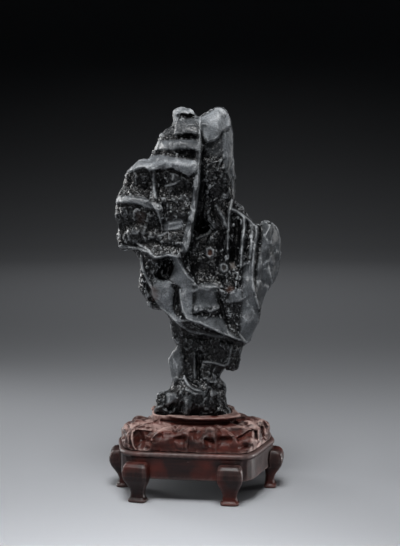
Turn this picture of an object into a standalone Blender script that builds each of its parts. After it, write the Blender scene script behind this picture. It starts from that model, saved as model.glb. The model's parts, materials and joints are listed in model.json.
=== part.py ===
"""A scholar's rock of black limestone, standing in the socket of its carved hardwood stand.

Units are metres, +Z up. The origin is on the ground under the middle of the object, and the stone shows its best
face towards -Y. Lengths in the tables are millimetres and are turned to metres by MM.

The stone's outlines and tool strokes are drawn on a board, as an eye one metre in front of the object sees them. The
eye looks slightly down, and the board stands square to its line of sight, about where the object is. So a stroke
stays where it was drawn on the stone's face, however far forward that face stands.
"""

import math
from dataclasses import dataclass

import bmesh
import bpy
import numpy as np
from mathutils import Matrix, Vector, geometry, noise

MM = 0.001

# ---------------------------------------------------------------- driving dimensions, in millimetres
EYE = (3.0, -1000.0, 320.5)  # where the drawing's eye stands
LOOK_DOWN = 5.9  # degrees
BOARD_DISTANCE = 1008.0  # from the eye to the drawing board
BOARD_MIDDLE = (3.0, 212.0)  # what the board shows straight ahead of the eye, across and up
LIP_TOP = 78.3  # top of the stand's lip
LIP_THICK = 2.4
SOCKET_DEPTH = 3.4
GAP = 0.3  # between pieces that touch
APRON_BOTTOM, APRON_TOP = 22.5, 49.4
LEG_TOP = 39.8
ROCK_FOOT = LIP_TOP - SOCKET_DEPTH + GAP
ROCK_TRIANGLES = 5200
MOUND_TRIANGLES = 1700
FORM_VOXEL, CARVE_VOXEL, MOUND_VOXEL = 2.6, 2.3, 2.0
ROUGH_ROOM, TRIM_ROOM = 1.8, 0.7  # what smoothing takes off the silhouette, before and after carving

# ---------------------------------------------------------------- the stone's outline and lobes
SILHOUETTE = [
    (-24, 359), (-22.5, 365), (-24, 372), (-19, 375.7), (-13, 376.2), (-7, 376), (-3.5, 373), (-1, 367.5),
    (8, 370), (15, 374), (20.6, 377), (25.5, 376), (29, 372), (32, 367), (34, 358), (35.5, 340), (36.3, 315),
    (37, 292), (36, 284.5), (43, 279.5), (46, 276), (49, 270), (53, 265), (58, 258.5), (63, 260.5), (68.4, 264.3),
    (73, 262), (78, 258), (82, 251), (82.8, 237), (82, 227), (80.5, 217), (78, 208), (74, 200), (69, 193.5),
    (65, 185), (62.5, 173), (61.5, 165), (57, 156), (54, 149.5), (50, 143), (44.8, 140), (44, 132), (42.5, 125),
    (40.6, 116), (37.5, 113.5), (33, 115), (31, 118.5), (28.5, 118.5), (25, 114.5), (21, 108), (23, 104.5),
    (28, 100.5), (28.3, 96), (27.7, 92), (28.5, 85), (30.5, 77), (35, 66), (-40.5, 66), (-40.3, 76), (-39.5, 85),
    (-38, 92), (-29, 93.7), (-25.5, 97), (-24.5, 104), (-26, 115), (-27, 125), (-25.5, 132), (-19.5, 139.5),
    (-22, 145), (-24.5, 154), (-26.5, 168), (-29.5, 172.5), (-34, 176.5), (-40, 175.5), (-45, 178), (-50, 184),
    (-56, 195), (-57.6, 202), (-55.7, 214), (-56.3, 228), (-60, 233.3), (-64.5, 238), (-69, 237), (-74, 236),
    (-78, 243.5), (-80, 252), (-79.8, 259), (-80.7, 267.4), (-80.5, 275), (-78, 291), (-73, 304), (-69, 313),
    (-62, 320), (-54, 325), (-50, 324), (-46.5, 326), (-42, 334.5), (-37.5, 345), (-33.5, 352), (-28, 356),
]


@dataclass(frozen=True)
class Lobe:
    """A lump of the stone: its outline on the drawing plane, how far it reaches to the front and the back, and how
    much each of those faces comes forward or back for each millimetre to the right and up."""

    outline: list
    front: float
    back: float
    front_lean: tuple = (0.0, 0.0)
    back_lean: tuple = (0.0, 0.0)


LOBES = [
    Lobe([(-84, 228), (-84, 300), (-70, 322), (-44, 336), (-10, 336), (3, 344), (2.2, 325), (1.6, 312), (-1, 285),
          (-4, 262), (-7, 245), (-9, 234), (-20, 226), (-42, 228), (-60, 232)], 37, 28, (0.14, -0.04),
         (0.22, 0.05)),  # left mass
    Lobe([(-42, 318), (-44, 336), (-34, 356), (-16, 362), (0, 362), (3.4, 352), (2.6, 330), (1.6, 314)], 29, 21,
         (0.1, -0.2), (0.1, -0.25)),  # shoulder
    Lobe([(-26, 364), (-27, 374), (-22, 380), (-6, 380), (-1.6, 374), (-1, 366), (-4, 362), (-20, 361)], 17, 12),
    Lobe([(-24, 346), (-24, 368), (-2, 368), (0, 346)], 12, 10),  # knob, and the neck under it
    Lobe([(8.5, 262), (9, 350), (3, 362), (3, 380), (40, 380), (40, 262)], 22, 30, (-0.12, -0.02), (0.1, -0.16)),
    Lobe([(10, 246), (10, 280), (36, 286), (38, 180), (-10, 180), (-12, 246), (2, 251)], 19, 36,
         (0.1, -0.06)),  # middle panel
    Lobe([(-20, 220), (-16, 360), (14, 362), (20, 220)], 9, 27),  # floor of the cleft between them
    Lobe([(30, 136), (29, 290), (46, 290), (58, 266), (61, 252), (62, 200), (64, 166), (56, 146), (46, 134)],
         25, 24, (0.0, 0.02), (-0.3, 0.05)),  # right wing
    Lobe([(55, 176), (56, 262), (70, 270), (88, 262), (88, 214), (74, 188), (66, 172)], 11, 27, (-0.25, 0.05),
         (0.2, 0.1)),  # outer lobe
    Lobe([(-22, 160), (-12, 204), (10, 206), (30, 204), (50, 212), (62, 190), (64, 164), (54, 138), (30, 142),
          (4, 154), (-12, 158)], 29, 33, (-0.05, 0.02), (0.0, 0.22)),  # lower body
    Lobe([(-62, 180), (-60, 240), (-20, 240), (-4, 210), (-4, 162), (-30, 164)], 32, 12, (0.1, 0.1),
         (0.15, 0.25)),  # lower left
    Lobe([(-30, 88), (-30, 160), (0, 172), (34, 156), (34, 108), (26, 88)], 18, 19, (0.0, 0.05),
         (0.0, 0.1)),  # waist
    Lobe([(30, 108), (30, 150), (48, 150), (48, 108)], 17, 0, (0.0, 0.1)),  # hanging tab
    Lobe([(-44, 62), (-44, 96), (-20, 100), (20, 98), (34, 90), (38, 62)], 24, 22),  # foot
    Lobe([(-58, 250), (-50, 306), (-24, 318), (-6, 300), (-8, 262), (-26, 240)], 0, 40, (0, 0),
         (0.1, -0.1)),  # two lumps of the back
    Lobe([(2, 214), (8, 270), (28, 284), (44, 262), (40, 214), (24, 196)], 0, 45, (0, 0), (-0.2, 0.15)),
]


@dataclass(frozen=True)
class Stroke:
    """A pass of the tool along a line on the face. Its depth is positive where the stone is raised."""

    line: list
    reach: float
    depth: float
    sharp: float = 1.0  # 1 leaves a rounded section, and more leaves a crest or a V


# Long forms first: they are carved into the joined lobes.
FRONT_FORMS = [
    Stroke([(38, 272), (39, 258), (39, 242), (38.5, 222)], 7, -8, 0.8),  # wing's first fold
    Stroke([(52, 263), (53, 245), (51, 225), (51, 208)], 4.5, -13, 0.9),
    Stroke([(64, 259), (63, 245), (59, 226), (58, 204)], 4, -12, 0.9),
    Stroke([(20, 288), (20, 255), (19, 230), (18, 210)], 8, -4, 0.8),  # panel's hollow middle
    Stroke([(3, 290), (3, 270), (2, 254)], 6, -4, 0.8),  # foot of the cleft
    Stroke([(-30, 223), (-29, 214), (-33, 210)], 9, -19, 0.7),  # cave
    Stroke([(-23, 198), (-22, 186), (-20, 178)], 5.5, -11, 0.8),  # long hollow under it
    Stroke([(-50, 205), (-52, 198), (-47, 192)], 5.5, -9, 0.8),
    Stroke([(-42, 184), (-47, 187)], 4, -7, 0.9),
    Stroke([(-20, 159), (-8, 154), (4, 150), (16, 148), (28, 145), (44, 139)], 6.5, -11, 0.9),  # undercut
    Stroke([(20, 187), (23, 175), (28, 162), (30, 154)], 4.5, -6, 0.9),
    Stroke([(-70, 262), (-50, 262), (-34, 256), (-20, 262), (-8, 262)], 9, -5, 0.8),  # panels of the left mass
    Stroke([(-70, 300), (-56, 298)], 9, -4, 0.8),
    Stroke([(-38, 300), (-30, 292), (-14, 296)], 10, -5, 0.8),
    Stroke([(-40, 334), (-30, 333)], 5.5, -9, 0.8),  # arched hollows of the shoulder
    Stroke([(-18, 332), (-4, 329)], 5.5, -10, 0.8),
    Stroke([(-22, 349), (-2, 349)], 4, -8, 0.9),
    Stroke([(-25, 358), (-25.5, 342), (-25, 328)], 3.2, -6, 0.9),
    Stroke([(-18, 368.5), (-5, 368)], 3.4, -5, 0.9),  # hollow under the knob's cap
    Stroke([(2, 132), (1, 120), (1, 108)], 4, -8, 0.9),  # fold of the waist
    Stroke([(-27, 80), (-22, 78), (-17, 76)], 6, -7, 0.8),  # arch of the foot
    Stroke([(-33, 90), (-33, 78)], 2.6, -5, 0.9),
]
# Then the crests and ledges that catch the light.
FRONT_CRESTS = [
    Stroke([(2, 352), (2.2, 345), (1, 325), (0.5, 312), (-2, 285), (-5, 262), (-7, 250), (-9, 238)], 4.5, 6, 1.4),
    Stroke([(-57, 320), (-46, 317.5), (-32, 322), (-16, 320), (-3, 318)], 7, 5.5, 1.2),  # upper ledge
    Stroke([(-78, 287), (-62, 286.5), (-47, 284), (-38, 278)], 5, 5.5, 1.4),  # middle ledge
    Stroke([(-44, 314), (-43, 300), (-44, 287), (-39, 273), (-37, 262)], 3.5, 4, 1.5),
    Stroke([(-69, 239), (-57, 235.5), (-47, 231.5), (-40, 229), (-27, 230.5), (-19, 229), (-15, 215), (-5, 205)],
           3.6, 5, 1.6),  # rim over the cave
    Stroke([(-32, 261), (-16, 262)], 4, 3, 1.4),
    Stroke([(-47, 250), (-25, 251)], 3, 3, 1.4),
    Stroke([(-26, 342), (-10, 342), (2, 340)], 4, 4.5, 1.3),
    Stroke([(4, 363), (12, 360), (20, 354)], 6, 3, 1.0),  # pillar's smooth cap
    Stroke([(27, 352), (31, 335), (31, 318)], 5, 4, 1.1),
    Stroke([(0, 247), (11, 251)], 2.8, 5, 1.6),
    Stroke([(33, 275), (31, 263), (31, 236), (29, 205)], 3.2, 6.5, 1.7),  # wing's crests
    Stroke([(34, 276), (46, 268), (46, 250), (44, 234), (43, 220), (41, 200)], 3.4, 7.5, 1.7),
    Stroke([(58, 258), (59.5, 252), (57, 235), (55, 214), (55.5, 200), (58, 190), (62, 178)], 3.4, 7.5, 1.7),
    Stroke([(70, 258), (71, 236), (69, 212), (66, 196)], 6, 4, 1.0),
    Stroke([(-4, 198), (8, 198), (19, 197)], 3.4, 4, 1.4),  # ledges of the lower body
    Stroke([(-4, 177), (8, 177), (19, 176)], 3.4, 4, 1.4),
    Stroke([(34, 193), (44, 186)], 5, 3, 1.1),
    Stroke([(-15, 222), (-13, 200), (-11, 182), (-10, 168)], 4, 4, 1.4),
    Stroke([(-17, 184), (-14, 172), (-9, 166), (3, 162), (13, 158), (23, 153), (33, 149), (50, 143)], 3.2, 5, 1.6),
    Stroke([(-36, 178), (-29, 172), (-22, 165), (-15, 158.5)], 3, 4, 1.6),
    Stroke([(-56, 228), (-54, 216), (-48, 202), (-44, 193)], 2.8, 4.5, 1.6),
    Stroke([(-2.5, 134), (-2.5, 108)], 2.8, 3.5, 1.6),
    Stroke([(6, 124), (18, 121.5), (29, 121)], 3, 2.5, 1.5),
    Stroke([(-13, 107), (-9, 100), (-4, 96), (4, 94)], 3, 3.5, 1.5),
    Stroke([(-28, 91), (-28, 80)], 3, 4, 1.4),
    Stroke([(-10, 86), (-10, 72)], 4.5, 3.5, 1.2),
]
BACK_FORMS = [
    Stroke([(-52, 318), (-48, 290), (-52, 262), (-46, 240)], 9, -13, 0.8),
    Stroke([(-24, 330), (-20, 296), (-24, 262)], 7, -10, 0.8),
    Stroke([(14, 356), (16, 320), (12, 286), (18, 250), (14, 214)], 8, -13, 0.8),
    Stroke([(44, 262), (44, 236), (48, 208)], 6, -12, 0.8),
    Stroke([(66, 252), (68, 228), (62, 200)], 5, -8, 0.8),
    Stroke([(-40, 214), (-32, 200)], 9, -11, 0.8),
    Stroke([(-8, 206), (-2, 186), (-8, 166)], 8, -9, 0.8),
    Stroke([(34, 190), (38, 170)], 7, -10, 0.8),
    Stroke([(-6, 138), (0, 118), (-4, 98)], 6, -8, 0.8),
    Stroke([(-26, 82), (-18, 78)], 5, -6, 0.8),
    Stroke([(16, 84), (14, 76)], 4, -5, 0.8),
]
BACK_CRESTS = [
    Stroke([(-72, 312), (-66, 284), (-70, 256)], 5, 6, 1.5),
    Stroke([(-36, 340), (-34, 308), (-38, 270), (-34, 240), (-24, 222)], 4.5, 7, 1.6),
    Stroke([(-10, 350), (-4, 320), (-10, 286), (-2, 250), (2, 222)], 4.5, 8, 1.6),
    Stroke([(30, 352), (31, 318), (28, 280), (33, 240), (28, 206), (20, 176)], 4.5, 7, 1.6),
    Stroke([(56, 256), (57, 226), (54, 192), (50, 164)], 4, 7, 1.6),
    Stroke([(76, 252), (77, 226), (70, 204)], 4, 4, 1.4),
    Stroke([(-54, 200), (-38, 188), (-22, 176)], 4, 5, 1.5),
    Stroke([(-74, 292), (-50, 288), (-38, 284)], 4.5, 5, 1.5),
    Stroke([(-32, 306), (-8, 300)], 4.5, 4.5, 1.4),
    Stroke([(0, 200), (18, 194), (30, 198)], 4.5, 4.5, 1.4),
    Stroke([(-16, 162), (10, 154), (36, 150)], 4.5, 5, 1.5),
    Stroke([(14, 140), (10, 118), (14, 98)], 3.5, 4, 1.5),
]

LEFT_FORMS = [  # drawn as (Y, Z)
    Stroke([(-30, 306), (-8, 304), (20, 306)], 10, -5, 0.8),
    Stroke([(-34, 266), (-6, 264), (24, 268)], 11, -6, 0.8),
    Stroke([(2, 334), (4, 300), (0, 262), (6, 240)], 5, -7, 0.9),
    Stroke([(-16, 214), (-12, 196)], 7, -7, 0.8),
    Stroke([(0, 150), (2, 128), (-2, 104)], 6, -4, 0.9),
    Stroke([(4, 372), (4, 352)], 4, -4, 0.9),
]
LEFT_CRESTS = [
    Stroke([(-38, 318), (-14, 320), (12, 316), (34, 320)], 5, 2.5, 1.2),
    Stroke([(-38, 287), (-12, 289), (10, 285), (34, 288)], 5, 3, 1.2),
    Stroke([(-34, 240), (-10, 243), (18, 246)], 5, 2.5, 1.2),
    Stroke([(-18, 330), (-20, 296), (-16, 256)], 4, 2, 1.2),
    Stroke([(22, 320), (24, 290), (20, 256)], 4, 2.5, 1.2),
]
RIGHT_FORMS = [
    Stroke([(6, 372), (8, 340), (4, 308), (8, 288)], 5, -6, 0.9),
    Stroke([(-6, 260), (-4, 236), (2, 206)], 5, -5, 0.9),
    Stroke([(14, 254), (16, 226), (10, 200)], 5, -7, 0.9),
    Stroke([(-8, 176), (-4, 158)], 6, -6, 0.9),
    Stroke([(18, 180), (20, 158)], 6, -7, 0.9),
    Stroke([(2, 104), (0, 84)], 6, -4, 0.9),
]
RIGHT_CRESTS = [
    Stroke([(-12, 360), (-12, 330), (-8, 296)], 4, 2, 1.2),
    Stroke([(20, 364), (22, 330), (18, 296)], 4, 2.5, 1.2),
    Stroke([(4, 262), (6, 232), (4, 204), (6, 184)], 4, 2.5, 1.2),
    Stroke([(4, 180), (6, 156)], 4, 2.5, 1.2),
    Stroke([(-20, 190), (-18, 160)], 4, 2, 1.2),
]
SIDES = {"front": (1, -1), "back": (1, 1), "left": (0, -1), "right": (0, 1)}  # the axis, and which way it looks
FORMS = {"front": FRONT_FORMS, "back": BACK_FORMS, "left": LEFT_FORMS, "right": RIGHT_FORMS}
CRESTS = {"front": FRONT_CRESTS, "back": BACK_CRESTS, "left": LEFT_CRESTS, "right": RIGHT_CRESTS}

# ---------------------------------------------------------------- the stand's plan and mound
PLAN = [(-72.6, -50.5), (50.5, -65), (77.3, -3), (71.4, 50.5), (-51.7, 65), (-78.5, 3)]
PLAN_RADIUS = 19
PLAN_MIDDLE = (-0.6, 0.0)
LIP_PLAN = [(-46.6, 10), (-38.5, -6), (-29.5, -20), (-14, -33), (4, -36), (24, -34.5), (38.5, -28), (43.6, -20),
            (40.5, -8), (38.5, 6), (36.5, 18), (27, 29), (8, 34), (-16, 33), (-38.5, 26)]
SOCKET_ROOM = 1.0  # all round the stone's foot
SOCKET_WALL = 2.2
NECK_FOOT = 56  # where the neck starts, inside the mound
NECK_REACH = 36  # how far the neck under the lip reaches from the middle
MOUND_SPARE = 5  # how far below the apron's top the mound is modelled, before it is cut flat there
MOUND_FALL = 0.5  # share of its height that the mound loses from its front to its back


@dataclass(frozen=True)
class Lump:
    """A knob or a hollow in the mound: its bearing in degrees, its height, its size and how far it stands out."""

    bearing: float
    height: float
    wide: float
    tall: float
    out: float


MOUND_LUMPS = [
    Lump(224, 62, 8.5, 10.5, -10), Lump(213, 64, 7, 14, 4.5), Lump(233, 64, 5, 13, 4.5), Lump(241, 61.5, 11, 10, 4.5),
    Lump(246, 70, 5, 4.5, -7), Lump(256, 62.5, 6, 5.5, -8), Lump(263, 67, 8, 10, 4), Lump(271, 66, 7, 5, -8),
    Lump(277, 60, 7, 8, 4), Lump(282.5, 60.5, 6, 5, -8), Lump(288, 67, 8, 9, 4), Lump(294.5, 63, 8, 5, -9),
    Lump(301, 67, 6, 10, 4), Lump(308, 67, 10, 5, -9), Lump(313, 61, 7, 5, 4), Lump(308, 56, 7, 4, -5),
    Lump(320, 65, 4.5, 16, 4.5), Lump(327, 63, 4.5, 13, -8), Lump(334, 66, 5.5, 15, 4.5), Lump(342, 62, 6, 12, -8),
    Lump(351, 66, 8, 14, 4.5), Lump(2, 62, 7, 11, -8), Lump(13, 66, 9, 14, 4.5), Lump(24, 62, 8, 11, -9),
    Lump(36, 66, 10, 14, 4.5), Lump(48, 61, 8, 10, -9), Lump(59, 66, 9, 13, 4.5), Lump(71, 63, 8, 8, -9),
    Lump(83, 66, 9, 14, 4.5), Lump(95, 62, 8, 9, -9), Lump(107, 66, 10, 14, 4.5), Lump(119, 63, 8, 8, -9),
    Lump(131, 66, 10, 14, 4.5), Lump(143, 61, 8, 11, -9), Lump(154, 66, 9, 14, 4.5), Lump(165, 63, 7, 9, -8),
    Lump(175, 66, 8, 13, 4.5), Lump(186, 61, 7, 11, -8), Lump(196, 66, 8, 14, 4.5), Lump(205, 61, 6, 9, -7),
]

LEGS = {  # where each leg meets the apron, and the bearing that it faces
    "leg_front_left": (-57.9, -52.5, -104),
    "leg_front_right": (31.4, -62.9, -95),
    "leg_right": (76.8, -3.0, -8),
    "leg_left": (-77.9, 0.0, 181),
}
LEG_SECTIONS = [  # height, half the width, how far it stands out of the apron, how far it reaches under it
    (0, 8.4, 3.2, 8.6), (0.8, 9.2, 4.2, 9.0), (2.5, 9.1, 4.0, 8.8), (4.4, 7.4, 2.0, 8.0), (8.3, 6.9, 1.4, 7.4),
    (13, 7.8, 2.8, 7.2), (18.2, 10.1, 5.8, 7.6), (22.9, 12.0, 8.8, 8), (27.6, 12.8, 10.6, 8),
    (32.3, 12.6, 10.6, 8), (36.5, 11.8, 9.2, 8), (38.9, 10.4, 6.8, 7), (LEG_TOP, 8.6, 4.2, 6),
]
LEG_EDGE = 3.2  # radius of the leg's upright edges


# ---------------------------------------------------------------- helpers
def clear_scene():
    for obj in list(bpy.data.objects):
        bpy.data.objects.remove(obj, do_unlink=True)


def new_collection(name):
    collection = bpy.data.collections.new(name)
    bpy.context.scene.collection.children.link(collection)
    return collection


def new_material(name, colour, roughness):
    """A Principled material: colour is linear RGB."""
    material = bpy.data.materials.new(name)
    material.use_nodes = True
    shader = material.node_tree.nodes["Principled BSDF"]
    shader.inputs["Base Color"].default_value = (*colour, 1.0)
    shader.inputs["Roughness"].default_value = roughness
    return material


def evaluated_mesh(obj):
    """The object's mesh with its modifiers, and the object itself removed."""
    graph = bpy.context.evaluated_depsgraph_get()
    mesh = bpy.data.meshes.new_from_object(obj.evaluated_get(graph))
    mesh.transform(obj.matrix_world)
    bpy.data.objects.remove(obj, do_unlink=True)
    return mesh


def object_of(name, mesh, collection):
    obj = bpy.data.objects.new(name, mesh)
    collection.objects.link(obj)
    return obj


def with_modifier(mesh, kind, collection, **settings):
    """The mesh after one modifier."""
    obj = object_of("work", mesh, collection)
    modifier = obj.modifiers.new(kind.title(), kind)
    for key, value in settings.items():
        setattr(modifier, key, value)
    bpy.context.view_layer.update()
    return evaluated_mesh(obj)


def extruded(outline, low, high, collection, smooth=True, upright=False):
    """A closed solid from a flat outline in millimetres, between two levels along its normal.

    An upright outline stands on the plane Y = 0, with its levels along Y."""
    curve = bpy.data.curves.new("outline", "CURVE")
    curve.dimensions = "2D"
    curve.fill_mode = "BOTH"
    curve.extrude = (high - low) / 2 * MM
    curve.resolution_u = 3
    spline = curve.splines.new("BEZIER" if smooth else "POLY")
    spline.use_cyclic_u = True
    points = spline.bezier_points if smooth else spline.points
    points.add(len(outline) - 1)
    for point, (x, y) in zip(points, outline):
        if smooth:
            point.co = (x * MM, y * MM, 0)
            point.handle_left_type = point.handle_right_type = "AUTO"
        else:
            point.co = (x * MM, y * MM, 0, 1)
    obj = object_of("outline", curve, collection)
    middle = (low + high) / 2 * MM
    if upright:
        obj.matrix_world = Matrix.Translation((0, middle, 0)) @ Matrix.Rotation(math.radians(90), 4, "X")
    else:
        obj.matrix_world = Matrix.Translation((0, 0, middle))
    bpy.context.view_layer.update()
    mesh = evaluated_mesh(obj)
    bm = bmesh.new()
    bm.from_mesh(mesh)
    bmesh.ops.remove_doubles(bm, verts=bm.verts, dist=0.00001)
    bmesh.ops.recalc_face_normals(bm, faces=bm.faces)
    bm.to_mesh(mesh)
    bm.free()
    return mesh


def joined(meshes):
    """One mesh that holds them all. Where they overlap, a voxel remesh makes them one body."""
    bm = bmesh.new()
    for mesh in meshes:
        bm.from_mesh(mesh)
    whole = bpy.data.meshes.new("joined")
    bm.to_mesh(whole)
    bm.free()
    return whole


def keep_largest(mesh):
    """Drops every loose crumb, so that one body stays."""
    bm = bmesh.new()
    bm.from_mesh(mesh)
    seen, islands = set(), []
    for first in bm.verts:
        if first.index in seen:
            continue
        seen.add(first.index)
        island, border = [first], [first]
        while border:
            for edge in border.pop().link_edges:
                for vert in edge.verts:
                    if vert.index not in seen:
                        seen.add(vert.index)
                        island.append(vert)
                        border.append(vert)
        islands.append(island)
    islands.sort(key=len)
    for island in islands[:-1]:
        bmesh.ops.delete(bm, geom=island, context="VERTS")
    bm.to_mesh(mesh)
    bm.free()
    return mesh


def read_points(mesh):
    """Its vertices in millimetres and their normals, as arrays."""
    places = np.empty(len(mesh.vertices) * 3, np.float32)
    normals = np.empty_like(places)
    mesh.vertices.foreach_get("co", places)
    mesh.vertices.foreach_get("normal", normals)
    return places.reshape(-1, 3).astype(float) / MM, normals.reshape(-1, 3).astype(float)


def set_points(mesh, places):
    mesh.vertices.foreach_set("co", (places * MM).astype(np.float32).ravel())
    mesh.update()


def sight():
    """The eye's right, forward and up, as the columns of a matrix."""
    tilt = math.radians(LOOK_DOWN)
    return np.array([(1, 0, 0), (0, math.cos(tilt), math.sin(tilt)), (0, -math.sin(tilt), math.cos(tilt))])


def drawn(places):
    """Where the eye sees each point, on the drawing board, as (across, up)."""
    away = (places - EYE) @ sight()
    return BOARD_MIDDLE + away[:, [0, 2]] * BOARD_DISTANCE / away[:, 1:2]


def standing(flat, depths):
    """Where the points of a drawing stand in space, each at its own depth along Y."""
    ahead = np.full(len(flat), BOARD_DISTANCE)
    rays = np.stack([flat[:, 0] - BOARD_MIDDLE[0], ahead, flat[:, 1] - BOARD_MIDDLE[1]], axis=1) @ sight().T
    return EYE + rays * ((depths - EYE[1]) / rays[:, 1])[:, None]


def distance_to(flat, line, closed=False):
    """How far each drawn point is from a line through the given points."""
    ends = np.array(line, float)
    starts = ends if closed else ends[:-1]
    stops = np.roll(ends, -1, axis=0) if closed else ends[1:]
    nearest = np.full(len(flat), np.inf)
    for start, stop in zip(starts, stops):
        along = stop - start
        share = np.clip(((flat - start) @ along) / (along @ along), 0, 1)
        nearest = np.minimum(nearest, np.linalg.norm(flat - start - share[:, None] * along, axis=1))
    return nearest


def smoothstep(values):
    values = np.clip(values, 0, 1)
    return values * values * (3 - 2 * values)


# ---------------------------------------------------------------- the stone
def seen_from(places, side):
    """The points as drawn on one of the stone's four faces. The two ends are drawn square on, as (Y, Z)."""
    return drawn(places) if side in ("front", "back") else places[:, 1:3]


def carve(mesh, strokes, side):
    """Moves one face of the stone in or out along each stroke. Where two strokes meet, the stronger one holds."""
    axis, towards = SIDES[side]
    places, normals = read_points(mesh)
    flat = seen_from(places, side)
    facing = smoothstep((normals[:, axis] * towards + 0.1) / 0.6)
    raised = np.zeros(len(places))
    sunk = np.zeros(len(places))
    for stroke in strokes:
        share = np.clip(1 - distance_to(flat, stroke.line) / stroke.reach, 0, 1)
        amount = stroke.depth * smoothstep(share) ** stroke.sharp
        raised = np.maximum(raised, amount)
        sunk = np.minimum(sunk, amount)
    places[:, axis] += towards * (raised + sunk) * facing
    set_points(mesh, places)


def round_over(mesh):
    """Thins the slab of lobes towards the silhouette, by an uneven amount, so that its edge turns."""
    places, _ = read_points(mesh)
    depth = distance_to(drawn(places), SILHOUETTE, closed=True)
    for index, place in enumerate(places):
        wander = noise.noise(Vector(place) / 34.0)
        reach = 15 + 8 * wander
        share = min(depth[index] / reach, 1)
        place[1] *= 0.4 + 0.6 * math.sqrt(1 - (1 - share) ** 2)
    set_points(mesh, places)


def weather(mesh, size, amount, seed, keep_outline=False):
    """Uneven swelling of the whole surface, along its normals, or only towards the front and the back."""
    places, normals = read_points(mesh)
    if keep_outline:
        normals = normals * (0, 1, 0)
    for index, place in enumerate(places):
        swell = noise.noise(Vector(place) / size + Vector((seed, 0, 0)))
        swell += 0.5 * noise.noise(Vector(place) / (size * 0.45) + Vector((0, seed, 0)))
        places[index] = place + normals[index] * (amount * swell)
    set_points(mesh, places)


def remeshed(mesh, voxel, collection):
    return with_modifier(mesh, "REMESH", collection, mode="VOXEL", voxel_size=voxel * MM)


def smoothed(mesh, turns, factor, collection):
    return with_modifier(mesh, "SMOOTH", collection, iterations=turns, factor=factor)


def decimated(mesh, triangles, collection):
    mesh.calc_loop_triangles()
    ratio = triangles / len(mesh.loop_triangles)
    return with_modifier(mesh, "DECIMATE", collection, ratio=ratio, use_collapse_triangulate=True)


def cut_flat(mesh, height):
    """Cuts the mesh off below a level, and closes it there."""
    bm = bmesh.new()
    bm.from_mesh(mesh)
    everything = bm.verts[:] + bm.edges[:] + bm.faces[:]
    bmesh.ops.bisect_plane(bm, geom=everything, dist=0.000001, plane_co=(0, 0, height * MM),
                           plane_no=(0, 0, 1), clear_inner=True)
    rim = [edge for edge in bm.edges if edge.is_boundary]
    bmesh.ops.holes_fill(bm, edges=rim, sides=0)
    bmesh.ops.triangulate(bm, faces=bm.faces)
    bmesh.ops.recalc_face_normals(bm, faces=bm.faces)
    bm.to_mesh(mesh)
    bm.free()
    return mesh


def lobe_slab(lobe, work):
    """The lobe as a slab whose two faces lean as it says."""
    mesh = extruded(lobe.outline, -1, 1, work, upright=True)
    places, _ = read_points(mesh)
    middle = np.mean(lobe.outline, axis=0)
    away = places[:, [0, 2]] - middle
    ahead = -lobe.front - away @ np.array(lobe.front_lean)
    behind = lobe.back + away @ np.array(lobe.back_lean)
    depths = np.where(places[:, 1] < 0, ahead, behind)
    places = standing(places[:, [0, 2]], np.zeros(len(places)))
    places[:, 1] = depths
    set_points(mesh, places)
    return mesh


def silhouette_prism(room, work):
    """A long block that the eye sees as the stone's silhouette, with some room round it."""
    mesh = extruded([tuple(p) for p in grown(SILHOUETTE, -room)], -80, 80, work, upright=True)
    places, _ = read_points(mesh)
    set_points(mesh, standing(places[:, [0, 2]], places[:, 1]))
    return object_of("silhouette_prism", mesh, work)


def trimmed(mesh, room, work):
    """Keeps only what lies inside the silhouette, seen from the front."""
    prism = silhouette_prism(room, work)
    mesh = with_modifier(mesh, "BOOLEAN", work, operation="INTERSECT", solver="EXACT", object=prism)
    bpy.data.objects.remove(prism, do_unlink=True)
    return mesh


def build_rock(collection, work, material):
    form = remeshed(joined([lobe_slab(lobe, work) for lobe in LOBES]), FORM_VOXEL, work)
    form = remeshed(trimmed(form, ROUGH_ROOM, work), FORM_VOXEL, work)
    round_over(form)
    form = smoothed(form, 2, 0.5, work)
    weather(form, 38, 5.0, 3.1, keep_outline=True)
    for side, strokes in FORMS.items():
        carve(form, strokes, side)
    form = smoothed(remeshed(form, CARVE_VOXEL, work), 1, 0.4, work)
    for side, strokes in CRESTS.items():
        carve(form, strokes, side)
    weather(form, 10, 1.0, 7.7)
    form = trimmed(remeshed(form, CARVE_VOXEL, work), TRIM_ROOM, work)
    form = smoothed(remeshed(form, CARVE_VOXEL, work), 1, 0.5, work)
    form = decimated(keep_largest(form), ROCK_TRIANGLES, work)
    form = cut_flat(form, ROCK_FOOT)
    return finish("scholars_rock", form, material, collection)


# ---------------------------------------------------------------- the stand
def rounded_plan(points, radius, steps=4):
    """The outline through the points, with an arc of the radius at each corner."""
    outline = []
    for before, corner, after in zip(points[-1:] + points[:-1], points, points[1:] + points[:1]):
        corner = Vector(corner)
        inward = (Vector(before) - corner).normalized()
        outward = (Vector(after) - corner).normalized()
        half = inward.angle(outward) / 2
        bisector = (inward + outward).normalized()
        centre = corner + bisector * (radius / math.sin(half))
        start = corner + inward * (radius / math.tan(half)) - centre
        sweep = math.pi - 2 * half
        for step in range(steps + 1):
            outline.append(tuple(centre + Matrix.Rotation(sweep * step / steps, 2) @ start))
    return outline


def grown(outline, amount):
    """The outline moved outwards, anticlockwise, by an amount."""
    points = np.array(outline, float)
    along = np.roll(points, -1, axis=0) - np.roll(points, 1, axis=0)
    along /= np.linalg.norm(along, axis=1)[:, None]
    return points + np.stack([along[:, 1], -along[:, 0]], axis=1) * amount


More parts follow.
